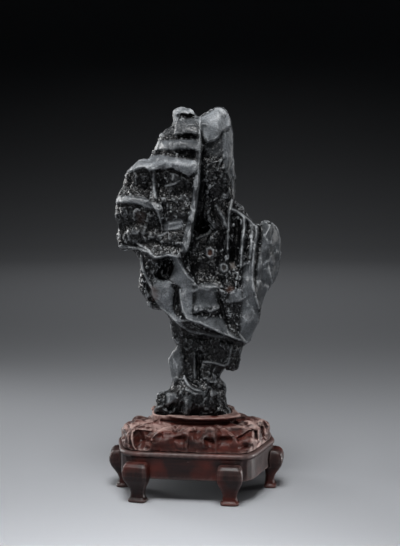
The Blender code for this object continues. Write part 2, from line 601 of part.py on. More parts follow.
def around(outline, count, pieces=20):
    """The outline read at evenly spaced bearings about the middle of the plan."""
    ends = np.array(outline, float) - PLAN_MIDDLE
    shares = np.arange(pieces)[:, None] / pieces
    points = np.concatenate([start + (stop - start) * shares for start, stop in zip(ends, np.roll(ends, -1, axis=0))])
    bearings = np.arctan2(points[:, 1], points[:, 0]) % (2 * math.pi)
    order = np.argsort(bearings)
    wanted = np.arange(count) * 2 * math.pi / count
    reach = np.interp(wanted, bearings[order], np.linalg.norm(points, axis=1)[order], period=2 * math.pi)
    return np.stack([np.cos(wanted), np.sin(wanted)], axis=1) * reach[:, None] + PLAN_MIDDLE


def lofted(rings):
    """A closed solid through rings of equal count, each given as (outline, height), from the bottom up."""
    bm = bmesh.new()
    loops = []
    for outline, height in rings:
        verts = [bm.verts.new((x * MM, y * MM, height * MM)) for x, y in outline]
        loops.append([bm.edges.new((a, b)) for a, b in zip(verts, verts[1:] + verts[:1])])
    for lower, upper in zip(loops, loops[1:]):
        bmesh.ops.bridge_loops(bm, edges=lower + upper)
    bmesh.ops.contextual_create(bm, geom=loops[0])
    bmesh.ops.contextual_create(bm, geom=loops[-1])
    bmesh.ops.recalc_face_normals(bm, faces=bm.faces)
    mesh = bpy.data.meshes.new("loft")
    bm.to_mesh(mesh)
    bm.free()
    return mesh


def boolean(mesh, other, operation, work):
    tool = object_of("tool", other, work)
    mesh = with_modifier(mesh, "BOOLEAN", work, operation=operation, solver="EXACT", object=tool)
    bpy.data.objects.remove(tool, do_unlink=True)
    return mesh


def finish(name, mesh, material, collection, angle=35):
    mesh.materials.clear()
    mesh.materials.append(material)
    obj = object_of(name, mesh, collection)
    mesh.shade_smooth()
    mesh.set_sharp_from_angle(angle=math.radians(angle))
    return obj


def build_apron(plan, material, collection):
    """The body of the stand: a plain apron, a groove, and a bead under its top edge."""
    steps = [  # how far the face stands out of the plan, height
        (-1.6, APRON_BOTTOM), (0, APRON_BOTTOM + 1.2), (0, 43.0), (-1.3, 43.6), (-1.3, 44.2), (0.9, 44.7),
        (1.6, 45.8), (1.6, 47.7), (0.6, 48.8), (-0.8, APRON_TOP),
    ]
    mesh = lofted([(grown(plan, out), height) for out, height in steps])
    return finish("stand_apron", mesh, material, collection)


def raise_lumps(mesh):
    """Pushes the mound out or in at each lump. Lumps run up over its shoulder and die out at the neck."""
    places, normals = read_points(mesh)
    away = places[:, :2] - PLAN_MIDDLE
    reach = np.linalg.norm(away, axis=1)
    bearing = np.degrees(np.arctan2(away[:, 1], away[:, 0]))
    moved = np.zeros(len(places))
    for lump in MOUND_LUMPS:
        turn = (bearing - lump.bearing + 180) % 360 - 180
        across = np.radians(turn) * reach / lump.wide
        up = (places[:, 2] - lump.height) / lump.tall
        moved += lump.out * smoothstep(1 - np.sqrt(across**2 + up**2))
    side = smoothstep((places[:, 2] - APRON_TOP - 1) / 4) * smoothstep((reach - NECK_REACH) / 12)
    set_points(mesh, places + normals * (moved * side)[:, None])


def lower_back(mesh):
    """Lets the mound fall away from its front edge to its back."""
    places, _ = read_points(mesh)
    fall = MOUND_FALL * smoothstep((places[:, 1] + 55) / 115)
    places[:, 2] -= np.maximum(places[:, 2] - APRON_TOP, 0) * fall
    set_points(mesh, places)


def foot_plan(rock, room):
    """The outline of the stone's foot, from above, with some room round it."""
    places, _ = read_points(rock.data)
    low = [Vector(place[:2]) for place in places if place[2] < LIP_TOP + 5]
    outline = [low[index] for index in geometry.convex_hull_2d(low)]
    return [tuple(point) for point in grown(outline, room)]


def build_mound(plan, rock, material, collection, work):
    """Carved rockwork that rises to a thin lip, with the socket sunk in it."""
    count = 72
    foot = around(grown(plan, -1.8), count)
    neck = around(grown(LIP_PLAN, -6), count)
    levels = [(0, APRON_TOP - MOUND_SPARE), (0.01, 57), (0.07, 63.5), (0.18, 67), (0.36, 68.6), (0.62, 69.6),
              (0.84, 71), (1, 74)]
    mesh = lofted([(foot + (neck - foot) * share, height) for share, height in levels])
    mesh = remeshed(mesh, MOUND_VOXEL, work)
    raise_lumps(mesh)
    lower_back(mesh)
    weather(mesh, 7, 0.7, 2.2)
    mesh = decimated(smoothed(remeshed(mesh, MOUND_VOXEL, work), 1, 0.4, work), MOUND_TRIANGLES, work)
    mesh = cut_flat(mesh, APRON_TOP + GAP)
    column = extruded([tuple(p) for p in grown(LIP_PLAN, -5)], NECK_FOOT, LIP_TOP - 1, work)
    collar = extruded(foot_plan(rock, SOCKET_ROOM + SOCKET_WALL), NECK_FOOT, LIP_TOP - 0.8, work, smooth=False)
    lip = extruded(LIP_PLAN, LIP_TOP - LIP_THICK, LIP_TOP, work)
    socket = extruded(foot_plan(rock, SOCKET_ROOM), LIP_TOP - SOCKET_DEPTH, LIP_TOP + 5, work, smooth=False)
    mesh = boolean(mesh, column, "UNION", work)
    mesh = boolean(mesh, collar, "UNION", work)
    mesh = boolean(mesh, lip, "UNION", work)
    mesh = boolean(mesh, socket, "DIFFERENCE", work)
    return finish("stand_top", keep_largest(mesh), material, collection)


def leg_section(half, out, under):
    """The leg's outline at one height: a rectangle with rounded corners, its front towards -Y."""
    corners = [(-half, -out), (half, -out), (half, under), (-half, under)]
    return rounded_plan(corners, min(LEG_EDGE, half * 0.45), steps=2)


def build_legs(plan, material, collection, work):
    """Six legs, each cut to the apron that it laps over. The back three are the front ones turned half round."""
    places = dict(LEGS)
    for front, back in (("leg_front_left", "leg_back_right"), ("leg_front_right", "leg_back_left")):
        x, y, bearing = LEGS[front]
        places[back] = (2 * PLAN_MIDDLE[0] - x, 2 * PLAN_MIDDLE[1] - y, bearing + 180)
    for name, (x, y, bearing) in places.items():
        mesh = lofted([(leg_section(*section), height) for height, *section in LEG_SECTIONS])
        turn = Matrix.Rotation(math.radians(bearing + 90), 4, "Z")
        mesh.transform(Matrix.Translation((x * MM, y * MM, 0)) @ turn)
        apron = extruded([tuple(p) for p in grown(plan, GAP)], APRON_BOTTOM - GAP, APRON_TOP, work, smooth=False)
        mesh = boolean(mesh, apron, "DIFFERENCE", work)
        finish(name, mesh, material, collection)


def main():
    clear_scene()
    parts = new_collection("scholars_rock_on_stand")
    work = new_collection("work")
    stone = new_material("black_limestone", (0.012, 0.012, 0.014), 0.38)
    wood = new_material("dark_rosewood", (0.055, 0.022, 0.018), 0.42)
    rock = build_rock(parts, work, stone)
    plan = rounded_plan(PLAN, PLAN_RADIUS)
    build_apron(plan, wood, parts)
    build_mound(plan, rock, wood, parts, work)
    build_legs(plan, wood, parts, work)


main()
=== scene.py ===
"""A scholar's rock of black limestone in its carved rosewood stand, dressed for a studio picture.

The tables are in millimetres, +Z up. The strokes and patches are drawn on a board that stands square to the
line of sight of an eye one metre in front, about where the object is. So a stroke stays where it was drawn
on the face, however far that face stands out. A line or an outline is a row of numbers: across and up for its
first point, then for its second, and so on.
"""

import json
import logging
import math
from dataclasses import dataclass, field
from enum import Enum

import bmesh
import bpy
import numpy as np
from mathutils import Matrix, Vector, noise

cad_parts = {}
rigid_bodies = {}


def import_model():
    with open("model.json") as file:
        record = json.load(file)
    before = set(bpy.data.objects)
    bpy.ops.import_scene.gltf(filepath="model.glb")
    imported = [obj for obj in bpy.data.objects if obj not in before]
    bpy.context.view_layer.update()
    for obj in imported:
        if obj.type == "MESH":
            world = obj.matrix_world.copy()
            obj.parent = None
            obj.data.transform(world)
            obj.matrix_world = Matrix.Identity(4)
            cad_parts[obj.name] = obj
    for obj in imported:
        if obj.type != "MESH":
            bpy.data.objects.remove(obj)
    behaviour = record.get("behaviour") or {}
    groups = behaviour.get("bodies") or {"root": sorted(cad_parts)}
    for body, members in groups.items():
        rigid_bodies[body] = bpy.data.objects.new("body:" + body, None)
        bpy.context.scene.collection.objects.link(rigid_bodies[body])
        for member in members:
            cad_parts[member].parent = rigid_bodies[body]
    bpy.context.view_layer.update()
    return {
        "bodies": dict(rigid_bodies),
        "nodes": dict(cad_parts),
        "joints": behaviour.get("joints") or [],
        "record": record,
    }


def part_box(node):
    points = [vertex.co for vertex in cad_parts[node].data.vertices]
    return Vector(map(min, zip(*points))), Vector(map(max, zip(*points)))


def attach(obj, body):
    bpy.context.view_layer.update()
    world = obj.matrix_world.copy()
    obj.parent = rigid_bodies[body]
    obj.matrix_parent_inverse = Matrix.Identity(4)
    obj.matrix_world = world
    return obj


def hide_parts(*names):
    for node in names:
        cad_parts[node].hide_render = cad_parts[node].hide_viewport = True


LOG = logging.getLogger("scholars_rock")
MM = 0.001
EYE = (3.0, -1000.0, 320.5)  # where the drawing's eye stands, and the camera with it
LOOK_DOWN = 5.9  # degrees
BOARD_DISTANCE = 1008.0  # from the eye to the drawing board
BOARD_MIDDLE = (3.0, 212.0)  # what the board shows straight ahead of the eye, across and up
STROKE_FROM = -0.1  # how far towards the front a normal points where a stroke starts to reach
FRONT_FROM = -0.3  # how far it points where a drawn finish starts to show
FACING_FADE = 0.6  # how much further it points where either is whole
KNOB_CROWN = 1.25  # over 1 leaves a crown at a knob's full height
CHIP_SHUFFLE = 7.3  # sets the tilts of neighbouring chips apart
SMOOTH_FROM = 0.55  # the polish from which the rock has no pits left; more polish only makes it paler grey, a painted sheen
NOISE_SEED = 5  # without it the tilt of the chips would differ from run to run
WELD = 0.00001  # metres; the solid's points that are closer are one point
TINY = 1e-9  # keeps a division from failing where two points meet


# ---- small tools
def linear(code: str) -> tuple:
    """Turn six sRGB hex digits into linear red, green, blue and alpha."""
    shares = [int(code[start : start + 2], 16) / 255 for start in (0, 2, 4)]
    turned = [share / 12.92 if share <= 0.04045 else ((share + 0.055) / 1.055) ** 2.4 for share in shares]
    return (*turned, 1.0)


def per_mm(size: float) -> float:
    """Give the texture scale at which one repeat measures `size` millimetres."""
    return 1 / (size * MM)


def smoothstep(values: np.ndarray) -> np.ndarray:
    """Ease values from 0 to 1, flat at both ends."""
    values = np.clip(values, 0, 1)
    return values * values * (3 - 2 * values)


def drawn(places: np.ndarray) -> np.ndarray:
    """Find where the eye sees points on the drawing board, across and up."""
    tilt = math.radians(LOOK_DOWN)
    right, ahead, up = (1, 0, 0), (0, math.cos(tilt), -math.sin(tilt)), (0, math.sin(tilt), math.cos(tilt))
    away = (places - EYE) @ np.array([right, ahead, up]).T
    return BOARD_MIDDLE + away[:, [0, 2]] * BOARD_DISTANCE / away[:, 1:2]


def points(row: tuple) -> np.ndarray:
    """Give a row of numbers as points, two numbers each."""
    return np.array(row, float).reshape(-1, 2)


def distance_to(flat: np.ndarray, line: tuple, closed: bool = False) -> np.ndarray:
    """Measure how far flat points are from a line through given points.

    Args:
        flat: points, one a row.
        line: the line's points, as a row of numbers.
        closed: whether its end joins its start.

    Returns:
        One distance for each point.
    """
    ends = points(line)
    starts = ends if closed else ends[:-1]
    stops = np.roll(ends, -1, axis=0) if closed else ends[1:]
    nearest = np.full(len(flat), np.inf)
    for start, stop in zip(starts, stops):
        along = stop - start
        share = np.clip(((flat - start) @ along) / max(along @ along, TINY), 0, 1)
        nearest = np.minimum(nearest, np.linalg.norm(flat - start - share[:, None] * along, axis=1))
    return nearest


def left_of(flat: np.ndarray, line: tuple) -> np.ndarray:
    """Say which flat points lie on the left hand of a line, walked from its first point to its last."""
    ends = points(line)
    least, left = np.full(len(flat), np.inf), np.zeros(len(flat), bool)
    for start, stop in zip(ends, ends[1:]):
        along = stop - start
        away = distance_to(flat, (start, stop))
        turned = along[0] * (flat[:, 1] - start[1]) - along[1] * (flat[:, 0] - start[0]) > 0
        left, least = np.where(away < least, turned, left), np.minimum(least, away)
    return left


def inside(flat: np.ndarray, outline: tuple, edge: float) -> np.ndarray:
    """Say how far inside an outline flat points are.

    Args:
        flat: points, one a row.
        outline: the outline's corners, as a row of numbers.
        edge: the width over which its border fades.

    Returns:
        A share for each point, from 0 outside to 1 inside.
    """
    crossings = np.zeros(len(flat), int)
    corners = points(outline)
    for (ax, ay), (bx, by) in zip(corners, np.roll(corners, -1, axis=0)):
        spans = (flat[:, 1] < ay) != (flat[:, 1] < by)
        meets = ax + (flat[:, 1] - ay) * (bx - ax) / (by - ay if by != ay else TINY)
        crossings += spans & (flat[:, 0] < meets)
    depth = distance_to(flat, outline, closed=True) * np.where(crossings % 2 == 1, 1, -1)
    return smoothstep(0.5 + depth / edge)


@dataclass(frozen=True)
class Stroke:
    """A pass of the tool along a line on the face. Its depth is positive where the stone is raised."""

    line: tuple
    reach: float
    depth: float
    sharp: float = 1.0  # 1 leaves a rounded section, and more leaves a crest or a V


@dataclass(frozen=True)
class Shelf:
    """A ledge under a line: it swells slowly on the line's left hand and breaks off sharply on its right."""

    line: tuple
    swell: float  # mm over which it rises
    depth: float
    drop: float = 1.3  # mm over which it breaks off


@dataclass(frozen=True)
class Patch:
    """An outlined place on the face, with how strongly it shows and how wide its border fades."""

    outline: tuple
    strength: float
    edge: float = 2.5


@dataclass(frozen=True)
class Knob:
    """A boss of the rockwork: where its middle stands, how wide it is and how far it swells."""

    middle: tuple  # mm
    reach: float
    swell: float


@dataclass(frozen=True)
class Pattern:
    """A noise in space: how large its swellings, cells or facets are along X, Y and Z, and its seed."""

    size: tuple  # mm
    seed: float  # sets two noises of one size apart

    def spots(self, places: np.ndarray) -> np.ndarray:
        """Give points in millimetres as places in the noise."""
        return places / np.array(self.size) + self.seed


def rows_of(kind: type, *rows: tuple) -> list:
    """Make one thing of a kind from each row."""
    return [kind(*row) for row in rows]


class Carving:
    """A mesh's points in millimetres, worked on as arrays and written back to the mesh."""

    def __init__(self, mesh: bpy.types.Mesh) -> None:
        """Read the mesh's points, normals and edges."""
        self.mesh = mesh
        ends = np.empty(len(mesh.edges) * 2, np.int32)
        mesh.edges.foreach_get("vertices", ends)
        self.edges = ends.reshape(-1, 2)
        self.degree = np.bincount(ends, minlength=len(mesh.vertices)).clip(1)
        self.read()

    def read(self) -> None:
        """Read the points and normals again."""
        count = len(self.mesh.vertices)
        places, normals = np.empty(count * 3, np.float32), np.empty(count * 3, np.float32)
        self.mesh.vertices.foreach_get("co", places)
        self.mesh.vertices.foreach_get("normal", normals)
        self.places = places.reshape(-1, 3).astype(float) / MM
        self.normals = normals.reshape(-1, 3).astype(float)

    def write(self) -> None:
        """Give the points back to the mesh and read its new normals."""
        self.mesh.vertices.foreach_set("co", (self.places * MM).astype(np.float32).ravel())
        self.mesh.update()
        self.read()

    def facing(self, least: float = FRONT_FROM) -> np.ndarray:
        """Give the share by which each point faces the front; at `least` it is 0."""
        return smoothstep((-self.normals[:, 1] - least) / FACING_FADE)

    def stroke(self, strokes: list) -> None:
        """Move the front in or out along each stroke; where two meet, the stronger one holds."""
        flat = drawn(self.places)
        raised, sunk = np.zeros(len(flat)), np.zeros(len(flat))
        for one in strokes:
            amount = one.depth * smoothstep(1 - distance_to(flat, one.line) / one.reach) ** one.sharp
            raised, sunk = np.maximum(raised, amount), np.minimum(sunk, amount)
        self.bring_forward(raised + sunk)

    def shelve(self, shelves: list) -> None:
        """Bring ledges out of the front."""
        flat = drawn(self.places)
        raised = np.zeros(len(flat))
        for shelf in shelves:
            away = distance_to(flat, shelf.line)
            reach = np.where(left_of(flat, shelf.line), shelf.swell, shelf.drop)
            raised = np.maximum(raised, shelf.depth * np.clip(1 - away / reach, 0, 1))
        self.bring_forward(raised)

    def bring_forward(self, amounts: np.ndarray) -> None:
        """Move the points that face the front forward by amounts in millimetres."""
        self.places[:, 1] -= amounts * self.facing(STROKE_FROM)
        self.write()

    def swell(self, knobs: list) -> None:
        """Swell the surface round the middle of each knob."""
        amounts = np.zeros(len(self.places))
        for knob in knobs:
            away = np.linalg.norm(self.places - knob.middle, axis=1)
            amounts = np.maximum(amounts, knob.swell * smoothstep(KNOB_CROWN * (1 - away / knob.reach)))
        self.push(amounts)

    def noise(self, pattern: Pattern) -> np.ndarray:
        """Read smooth noise at each point, about -1 to 1."""
        return np.array([noise.noise(Vector(spot)) for spot in pattern.spots(self.places)])

    def cells(self, pattern: Pattern) -> np.ndarray:
        """Read how far each point is from the nearest of scattered seeds, in cells."""
        return np.array([noise.voronoi(Vector(spot))[0][0] for spot in pattern.spots(self.places)])

    def chips(self, pattern: Pattern) -> np.ndarray:
        """Read how far each point stands out on facets that each tilt their own way, about -0.5 to 0.5."""
        found = []
        for spot in map(Vector, pattern.spots(self.places)):
            middle = noise.voronoi(spot)[1][0]
            found.append((spot - middle).dot(noise.noise_vector(middle * CHIP_SHUFFLE)))
        return np.array(found)

    def push(self, amounts: np.ndarray) -> None:
        """Move the points along their normals by amounts in millimetres."""
        self.places += self.normals * amounts[:, None]
        self.write()

    def around(self, values: np.ndarray, turns: int) -> np.ndarray:
        """Average values with their neighbours' a number of times."""
        count = len(self.degree)
        for _ in range(turns):
            total = np.zeros_like(values)
            for here, there in ((0, 1), (1, 0)):
                for column in range(values.shape[1]):
                    total[:, column] += np.bincount(
                        self.edges[:, here], weights=values[self.edges[:, there], column], minlength=count
                    )
            values = (values + total / self.degree[:, None]) / 2
        return values

    def height(self, turns: int) -> np.ndarray:
        """Say how far each point stands out of its surroundings, in millimetres."""
        return np.einsum("ij,ij->i", self.places - self.around(self.places, turns), self.normals)

    def hold(self, low: Vector, high: Vector) -> None:
        """Keep the points inside a box given in metres."""
        self.places = np.clip(self.places, np.array(low) / MM, np.array(high) / MM)
        self.write()

    def painted(self, patches: list) -> np.ndarray:
        """Give the strongest of some patches on the front at each point."""
        flat = drawn(self.places)
        shares = [patch.strength * inside(flat, patch.outline, patch.edge) for patch in patches]
        return np.max(shares, axis=0) * self.facing()

    def paint(self, name: str, shares: np.ndarray) -> None:
        """Store a share for each point as an attribute that the finish reads."""
        layer = self.mesh.attributes.new(name, "FLOAT", "POINT")
        layer.data.foreach_set("value", np.clip(shares, 0, 1).astype(np.float32))


def add_object(name: str, mesh: bpy.types.Mesh) -> bpy.types.Object:
    """Put a mesh in the scene as an object."""
    obj = bpy.data.objects.new(name, mesh)
    bpy.context.scene.collection.objects.link(obj)
    return obj


def dressed(name: str, mesh: bpy.types.Mesh, finish: bpy.types.Material) -> bpy.types.Object:
    """Give a mesh its finish and put it in the scene."""
    mesh.materials.clear()
    mesh.materials.append(finish)
    mesh.shade_smooth()
    return add_object(name, mesh)


def with_modifier(mesh: bpy.types.Mesh, kind: str, **settings: object) -> bpy.types.Mesh:
    """Run one modifier on a mesh.

    Args:
        mesh: the mesh to work on.
        kind: the modifier's type.
        **settings: the modifier's own settings.

    Returns:
        The new mesh.
    """
    obj = add_object("work", mesh)
    modifier = obj.modifiers.new(kind.title(), kind)
    for key, value in settings.items():
        setattr(modifier, key, value)
    made = bpy.data.meshes.new_from_object(obj.evaluated_get(bpy.context.evaluated_depsgraph_get()))
    bpy.data.objects.remove(obj, do_unlink=True)
    return made


def refined(node: bpy.types.Object, voxel: float, turns: int) -> bpy.types.Mesh:
    """Make a fine, even mesh from a coarse solid.

    Args:
        node: the solid's object.
        voxel: the new mesh's spacing in millimetres.
        turns: how many times it is smoothed.

    Returns:
        The new mesh.
    """
    bm = bmesh.new()
    bm.from_mesh(node.data)
    bmesh.ops.remove_doubles(bm, verts=bm.verts, dist=WELD)
    mesh = bpy.data.meshes.new("work")
    bm.to_mesh(mesh)
    bm.free()
    mesh = with_modifier(mesh, "REMESH", mode="VOXEL", voxel_size=voxel * MM)
    return with_modifier(mesh, "SMOOTH", iterations=turns, factor=0.5)


def thinned(mesh: bpy.types.Mesh, most: int) -> bpy.types.Mesh:
    """Collapse the flattest parts of a mesh until it has at most a number of triangles."""
    mesh.calc_loop_triangles()
    have = len(mesh.loop_triangles)
    if have <= most:
        return mesh
    return with_modifier(mesh, "DECIMATE", ratio=most / have, use_collapse_triangulate=True)


class Nodes:
    """A material and its nodes, with short ways to add the kinds that the finishes use."""

    def __init__(self, name: str) -> None:
        """Make the material, with its shader."""
        self.material = bpy.data.materials.new(name)
        self.material.use_nodes = True
        self.tree = self.material.node_tree
        self.shader = self.tree.nodes["Principled BSDF"]

    def add(self, kind: str, inputs: dict, **settings: object) -> bpy.types.Node:
        """Add a node with its settings and its links.

        Args:
            kind: the node's type, without "ShaderNode".
            inputs: a socket to link from, or a value, for each of its inputs by name or number.
            **settings: the node's own settings.

        Returns:
            The new node.
        """
        made = self.tree.nodes.new("ShaderNode" + kind)
        for name, value in settings.items():
            setattr(made, name, value)
        for name, value in inputs.items():
            if isinstance(value, bpy.types.NodeSocket):
                self.tree.links.new(value, made.inputs[name])
            else:
                made.inputs[name].default_value = value
        return made

    def place(self) -> bpy.types.NodeSocket:
        """Read the place on the object."""
        return self.add("TexCoord", {}).outputs["Object"]

    def attribute(self, name: str) -> bpy.types.NodeSocket:
        """Read an attribute of the mesh."""
        return self.add("Attribute", {}, attribute_name=name).outputs["Fac"]

    def noise(self, place: object, scale: float, detail: float, **more: float) -> bpy.types.Node:
        """Add a noise texture."""
        return self.add("TexNoise", {"Vector": place, "Scale": scale, "Detail": detail, **more})

    def ranged(self, value: object, start: tuple, end: tuple = (0.0, 1.0)) -> bpy.types.NodeSocket:
        """Stretch one range of a value over another, held at both ends."""
        names = ("From Min", "From Max", "To Min", "To Max")
        return self.add("MapRange", {"Value": value, **dict(zip(names, (*start, *end)))}).outputs["Result"]

    def math(self, operation: str, *values: object) -> bpy.types.NodeSocket:
        """Reckon with values."""
        return self.add("Math", dict(enumerate(values)), operation=operation).outputs["Value"]

    def mixed(self, share: bpy.types.NodeSocket, tone: object, code: str) -> bpy.types.NodeSocket:
        """Mix an sRGB hex colour into a tone by a share."""
        inputs = {"Factor": share, "A": tone, "B": linear(code)}
        return self.add("Mix", inputs, data_type="RGBA").outputs["Result"]

    def scaled(self, vector: bpy.types.NodeSocket, scale: object) -> bpy.types.NodeSocket:
        """Multiply a vector or a colour by a value."""
        return self.add("VectorMath", {0: vector, "Scale": scale}, operation="SCALE").outputs["Vector"]

    def finish(
        self, tone: object, gloss: object, height: object, strength: float, depth: float
    ) -> bpy.types.Material:
        """Link the shader's inputs.

        Args:
            tone: the base colour's socket.
            gloss: the roughness's socket.
            height: the relief's socket.
            strength: how strong the relief reads.
            depth: how deep it is at 1, in millimetres.

        Returns:
            The finished material.
        """
        bump = self.add("Bump", {"Height": height, "Strength": strength, "Distance": depth * MM})
        for name, socket in (("Base Color", tone), ("Roughness", gloss), ("Normal", bump.outputs["Normal"])):
            self.tree.links.new(socket, self.shader.inputs[name])
        return self.material


@dataclass
class Piece:
    """A piece made from its solid's form: how finely it is meshed, and how it is carved."""

    node: str
    voxel: float  # mm
    relax_turns: int
    most_triangles: int

    def carve(self, work: Carving) -> None:
        """Cut what the solid is too coarse for."""
        raise NotImplementedError

    def carved(self, frame: dict) -> Carving:
        """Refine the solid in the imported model, carve it and keep it in the solid's box."""
        work = Carving(refined(frame["nodes"][self.node], self.voxel, self.relax_turns))
        self.carve(work)
        work.hold(*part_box(self.node))
        work = Carving(thinned(work.mesh, self.most_triangles))
        work.hold(*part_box(self.node))
        return work


# ---- finishes
@dataclass(frozen=True)
class Limestone:
    """Black limestone, dense and fine in the grain, scoured by water and then waxed and handled for years.

    Its ledges and crests have a soft polish, and a painted sheen makes them paler grey. Its panels stay
    etched by small pits and read nearly black, with a painted glint on the rim of each pit; bare edges carry
    a painted highlight.
    """

    pitted: str = "050506"
    polished_sheen: str = "6e7276"
    # the painted glint on the pits' rims
    rim_glint: str = "888a8c"
    bare_highlight: str = "989b9e"
    rust: str = "5c3a2a"
    chalk: str = "8a837e"
    roughness: tuple = (0.15, 0.36)  # where it is pitted, and where it is polished
    uneven_gloss: float = 0.12  # how much the grit adds to that
    pit_size: float = 1.8  # mm from pit to pit
    pit_sway: float = 2.5  # mm by which the pits' walls are bent
    pit_wall: tuple = (0.1, 0.5)  # from where to where it rises, in shares of the pit's size
    # where a pit's painted glint lies, in shares of the pit's size
    pit_rim_glint: tuple = (0.5, 0.68)
    relief: float = 0.4  # mm
    relief_strength: float = 0.9
    grit_size: float = 1.3  # real grit is about 0.2 mm, drawn coarser so that it shows
    grit_relief: float = 0.35  # its height, as a share of a pit's depth
    mottle_size: float = 11.0  # clouds of paler calcite, in mm
    lit_clouds: tuple = (0.55, 0.71)  # the mottle over which the painted glints on the rims turn from dark to pale
    rim_glint_shares: tuple = (0.015, 0.75)  # how pale they are at its two ends
    grit_tones: tuple = ((0.3, 0.7), (0.55, 1.35))  # the grit and the mottle, and what each does to the tone
    mottle_tones: tuple = ((0.3, 0.75), (0.6, 1.5))

    def material(self) -> bpy.types.Material:
        """Build the stone's material from its attributes: polish with a painted sheen, wear with a painted
        highlight, dulling and painted shade, stain and chalk.
        """
        nodes = Nodes("black_limestone")
        nodes.shader.inputs["IOR"].default_value = 1.56  # calcite under wax
        nodes.shader.inputs["Specular IOR Level"].default_value = 0.2  # the wax is old and has dried
        place = nodes.place()
        polish_and_sheen, worn_and_highlit, dull_and_shade, stain, chalk = map(nodes.attribute, ("polish_and_sheen", "worn_and_highlit", "dull_and_shade", "stain", "chalk"))
        mottle = nodes.noise(place, per_mm(self.mottle_size), 4.0)
        clouds = mottle.outputs["Fac"]
        grit = nodes.noise(place, per_mm(self.grit_size), 2.0).outputs["Fac"]
        sway = nodes.scaled(mottle.outputs["Color"], self.pit_sway * MM)
        bent = nodes.add("VectorMath", {0: place, 1: sway}, operation="ADD").outputs["Vector"]
        pit = nodes.add("TexVoronoi", {"Vector": bent, "Scale": per_mm(self.pit_size)}).outputs["Distance"]
        etched = nodes.ranged(polish_and_sheen, (0.0, SMOOTH_FROM), (1.0, 0.0))
        walls = nodes.math("MULTIPLY", nodes.ranged(pit, self.pit_wall), etched)
        lit = nodes.ranged(clouds, self.lit_clouds, self.rim_glint_shares)
        # painted glints: the pits' rims are paler in some of the mottle's clouds
        rim_glints = nodes.math("MULTIPLY", nodes.ranged(pit, self.pit_rim_glint), lit)
        # in painted shade, and on the dulled back, the pits lose their painted glints
        spared = nodes.math("MULTIPLY", nodes.math("SUBTRACT", 1.0, dull_and_shade), etched)
        tone = nodes.mixed(nodes.math("MULTIPLY", rim_glints, spared), linear(self.pitted), self.rim_glint)
        # painted sheen makes the polished parts paler grey, and a painted highlight makes the worn edges
        # paler still
        tone = nodes.mixed(worn_and_highlit, nodes.mixed(polish_and_sheen, tone, self.polished_sheen), self.bare_highlight)
        mottling, speckling = nodes.ranged(clouds, *self.mottle_tones), nodes.ranged(grit, *self.grit_tones)
        tone = nodes.scaled(tone, nodes.math("MULTIPLY", mottling, speckling))
        tone = nodes.mixed(stain, tone, self.rust)
        tone = nodes.mixed(chalk, tone, self.chalk)
        gloss = nodes.ranged(polish_and_sheen, (0.0, 1.0), self.roughness)
        gloss = nodes.math("MULTIPLY_ADD", grit, self.uneven_gloss, gloss)
        height = nodes.math("MULTIPLY_ADD", grit, self.grit_relief, walls)
        return nodes.finish(tone, gloss, height, self.relief_strength, self.relief)


@dataclass(frozen=True)
class Rosewood:
    """Old rosewood, carved, scraped and waxed: dark red-brown with near-black streaks along the grain.

    Raised edges are rubbed paler and pinkish, with a painted highlight, and dust and old wax stay dark in the
    hollows.
    """

    name: str
    grain: tuple  # how long the streaks are along X, Y and Z, in mm
    heart: str = "110505"
    sap: str = "240d0a"
    glow: str = "5a1e12"
    rubbed: str = "957f7b"
    hollow: str = "0a0506"
    roughness: float = 0.42
    uneven_gloss: float = 0.2  # how far the roughness varies with the streaks
    streaks: dict = field(default_factory=lambda: {"Roughness": 0.62, "Distortion": 0.25})
    streak_edges: tuple = (0.36, 0.68)
    pores: float = 4.0  # how many pores lie across a streak
    pore_relief: float = 0.25  # mm
    pore_strength: float = 0.5
    cloud_size: float = 26.0  # mm from one red cloud to the next
    glow_clouds: tuple = ((0.5, 0.85), (0.0, 0.8))
    rubbed_highlight_heights: tuple = ((0.52, 0.95), (0.0, 0.6))
    hollow_heights: tuple = ((0.1, 0.42), (0.85, 0.0))

    def material(self) -> bpy.types.Material:
        """Build the wood's material from its attribute "height", which is 0.5 where the wood is flat."""
        nodes = Nodes(self.name)
        nodes.shader.inputs["IOR"].default_value = 1.52  # wax over dense wood
        nodes.shader.inputs["Specular IOR Level"].default_value = 0.25  # the wax is worn dull
        place, height = nodes.place(), nodes.attribute("height")
        scale = tuple(per_mm(size) for size in self.grain)
        along = nodes.add("Mapping", {"Vector": place, "Scale": scale}).outputs["Vector"]
        streaks = nodes.noise(along, 1.0, 5.0, **self.streaks).outputs["Fac"]
        pores = nodes.noise(along, self.pores, 2.0).outputs["Fac"]
        clouds = nodes.noise(place, per_mm(self.cloud_size), 2.0).outputs["Fac"]
        tone = nodes.mixed(nodes.ranged(streaks, self.streak_edges), linear(self.heart), self.sap)
        tone = nodes.mixed(nodes.ranged(clouds, *self.glow_clouds), tone, self.glow)
        # wear and painted highlight: raised parts are paler and pinkish
        tone = nodes.mixed(nodes.ranged(height, *self.rubbed_highlight_heights), tone, self.rubbed)
        tone = nodes.mixed(nodes.ranged(height, *self.hollow_heights), tone, self.hollow)
        least = self.roughness - self.uneven_gloss / 2
        gloss = nodes.math("MULTIPLY_ADD", streaks, self.uneven_gloss, least)
        return nodes.finish(tone, gloss, pores, self.pore_strength, self.pore_relief)


@dataclass(frozen=True)
class PaleFloor:
    """Matt light grey studio paper, rolled flat: smooth, with no gloss."""

    colour: str = "909296"
    roughness: float = 0.9

    def material(self) -> bpy.types.Material:
        """Build the paper's material."""
        nodes = Nodes("pale_paper")
        nodes.shader.inputs["Base Color"].default_value = linear(self.colour)
        nodes.shader.inputs["Roughness"].default_value = self.roughness
        nodes.shader.inputs["Specular IOR Level"].default_value = 0.1
        return nodes.material


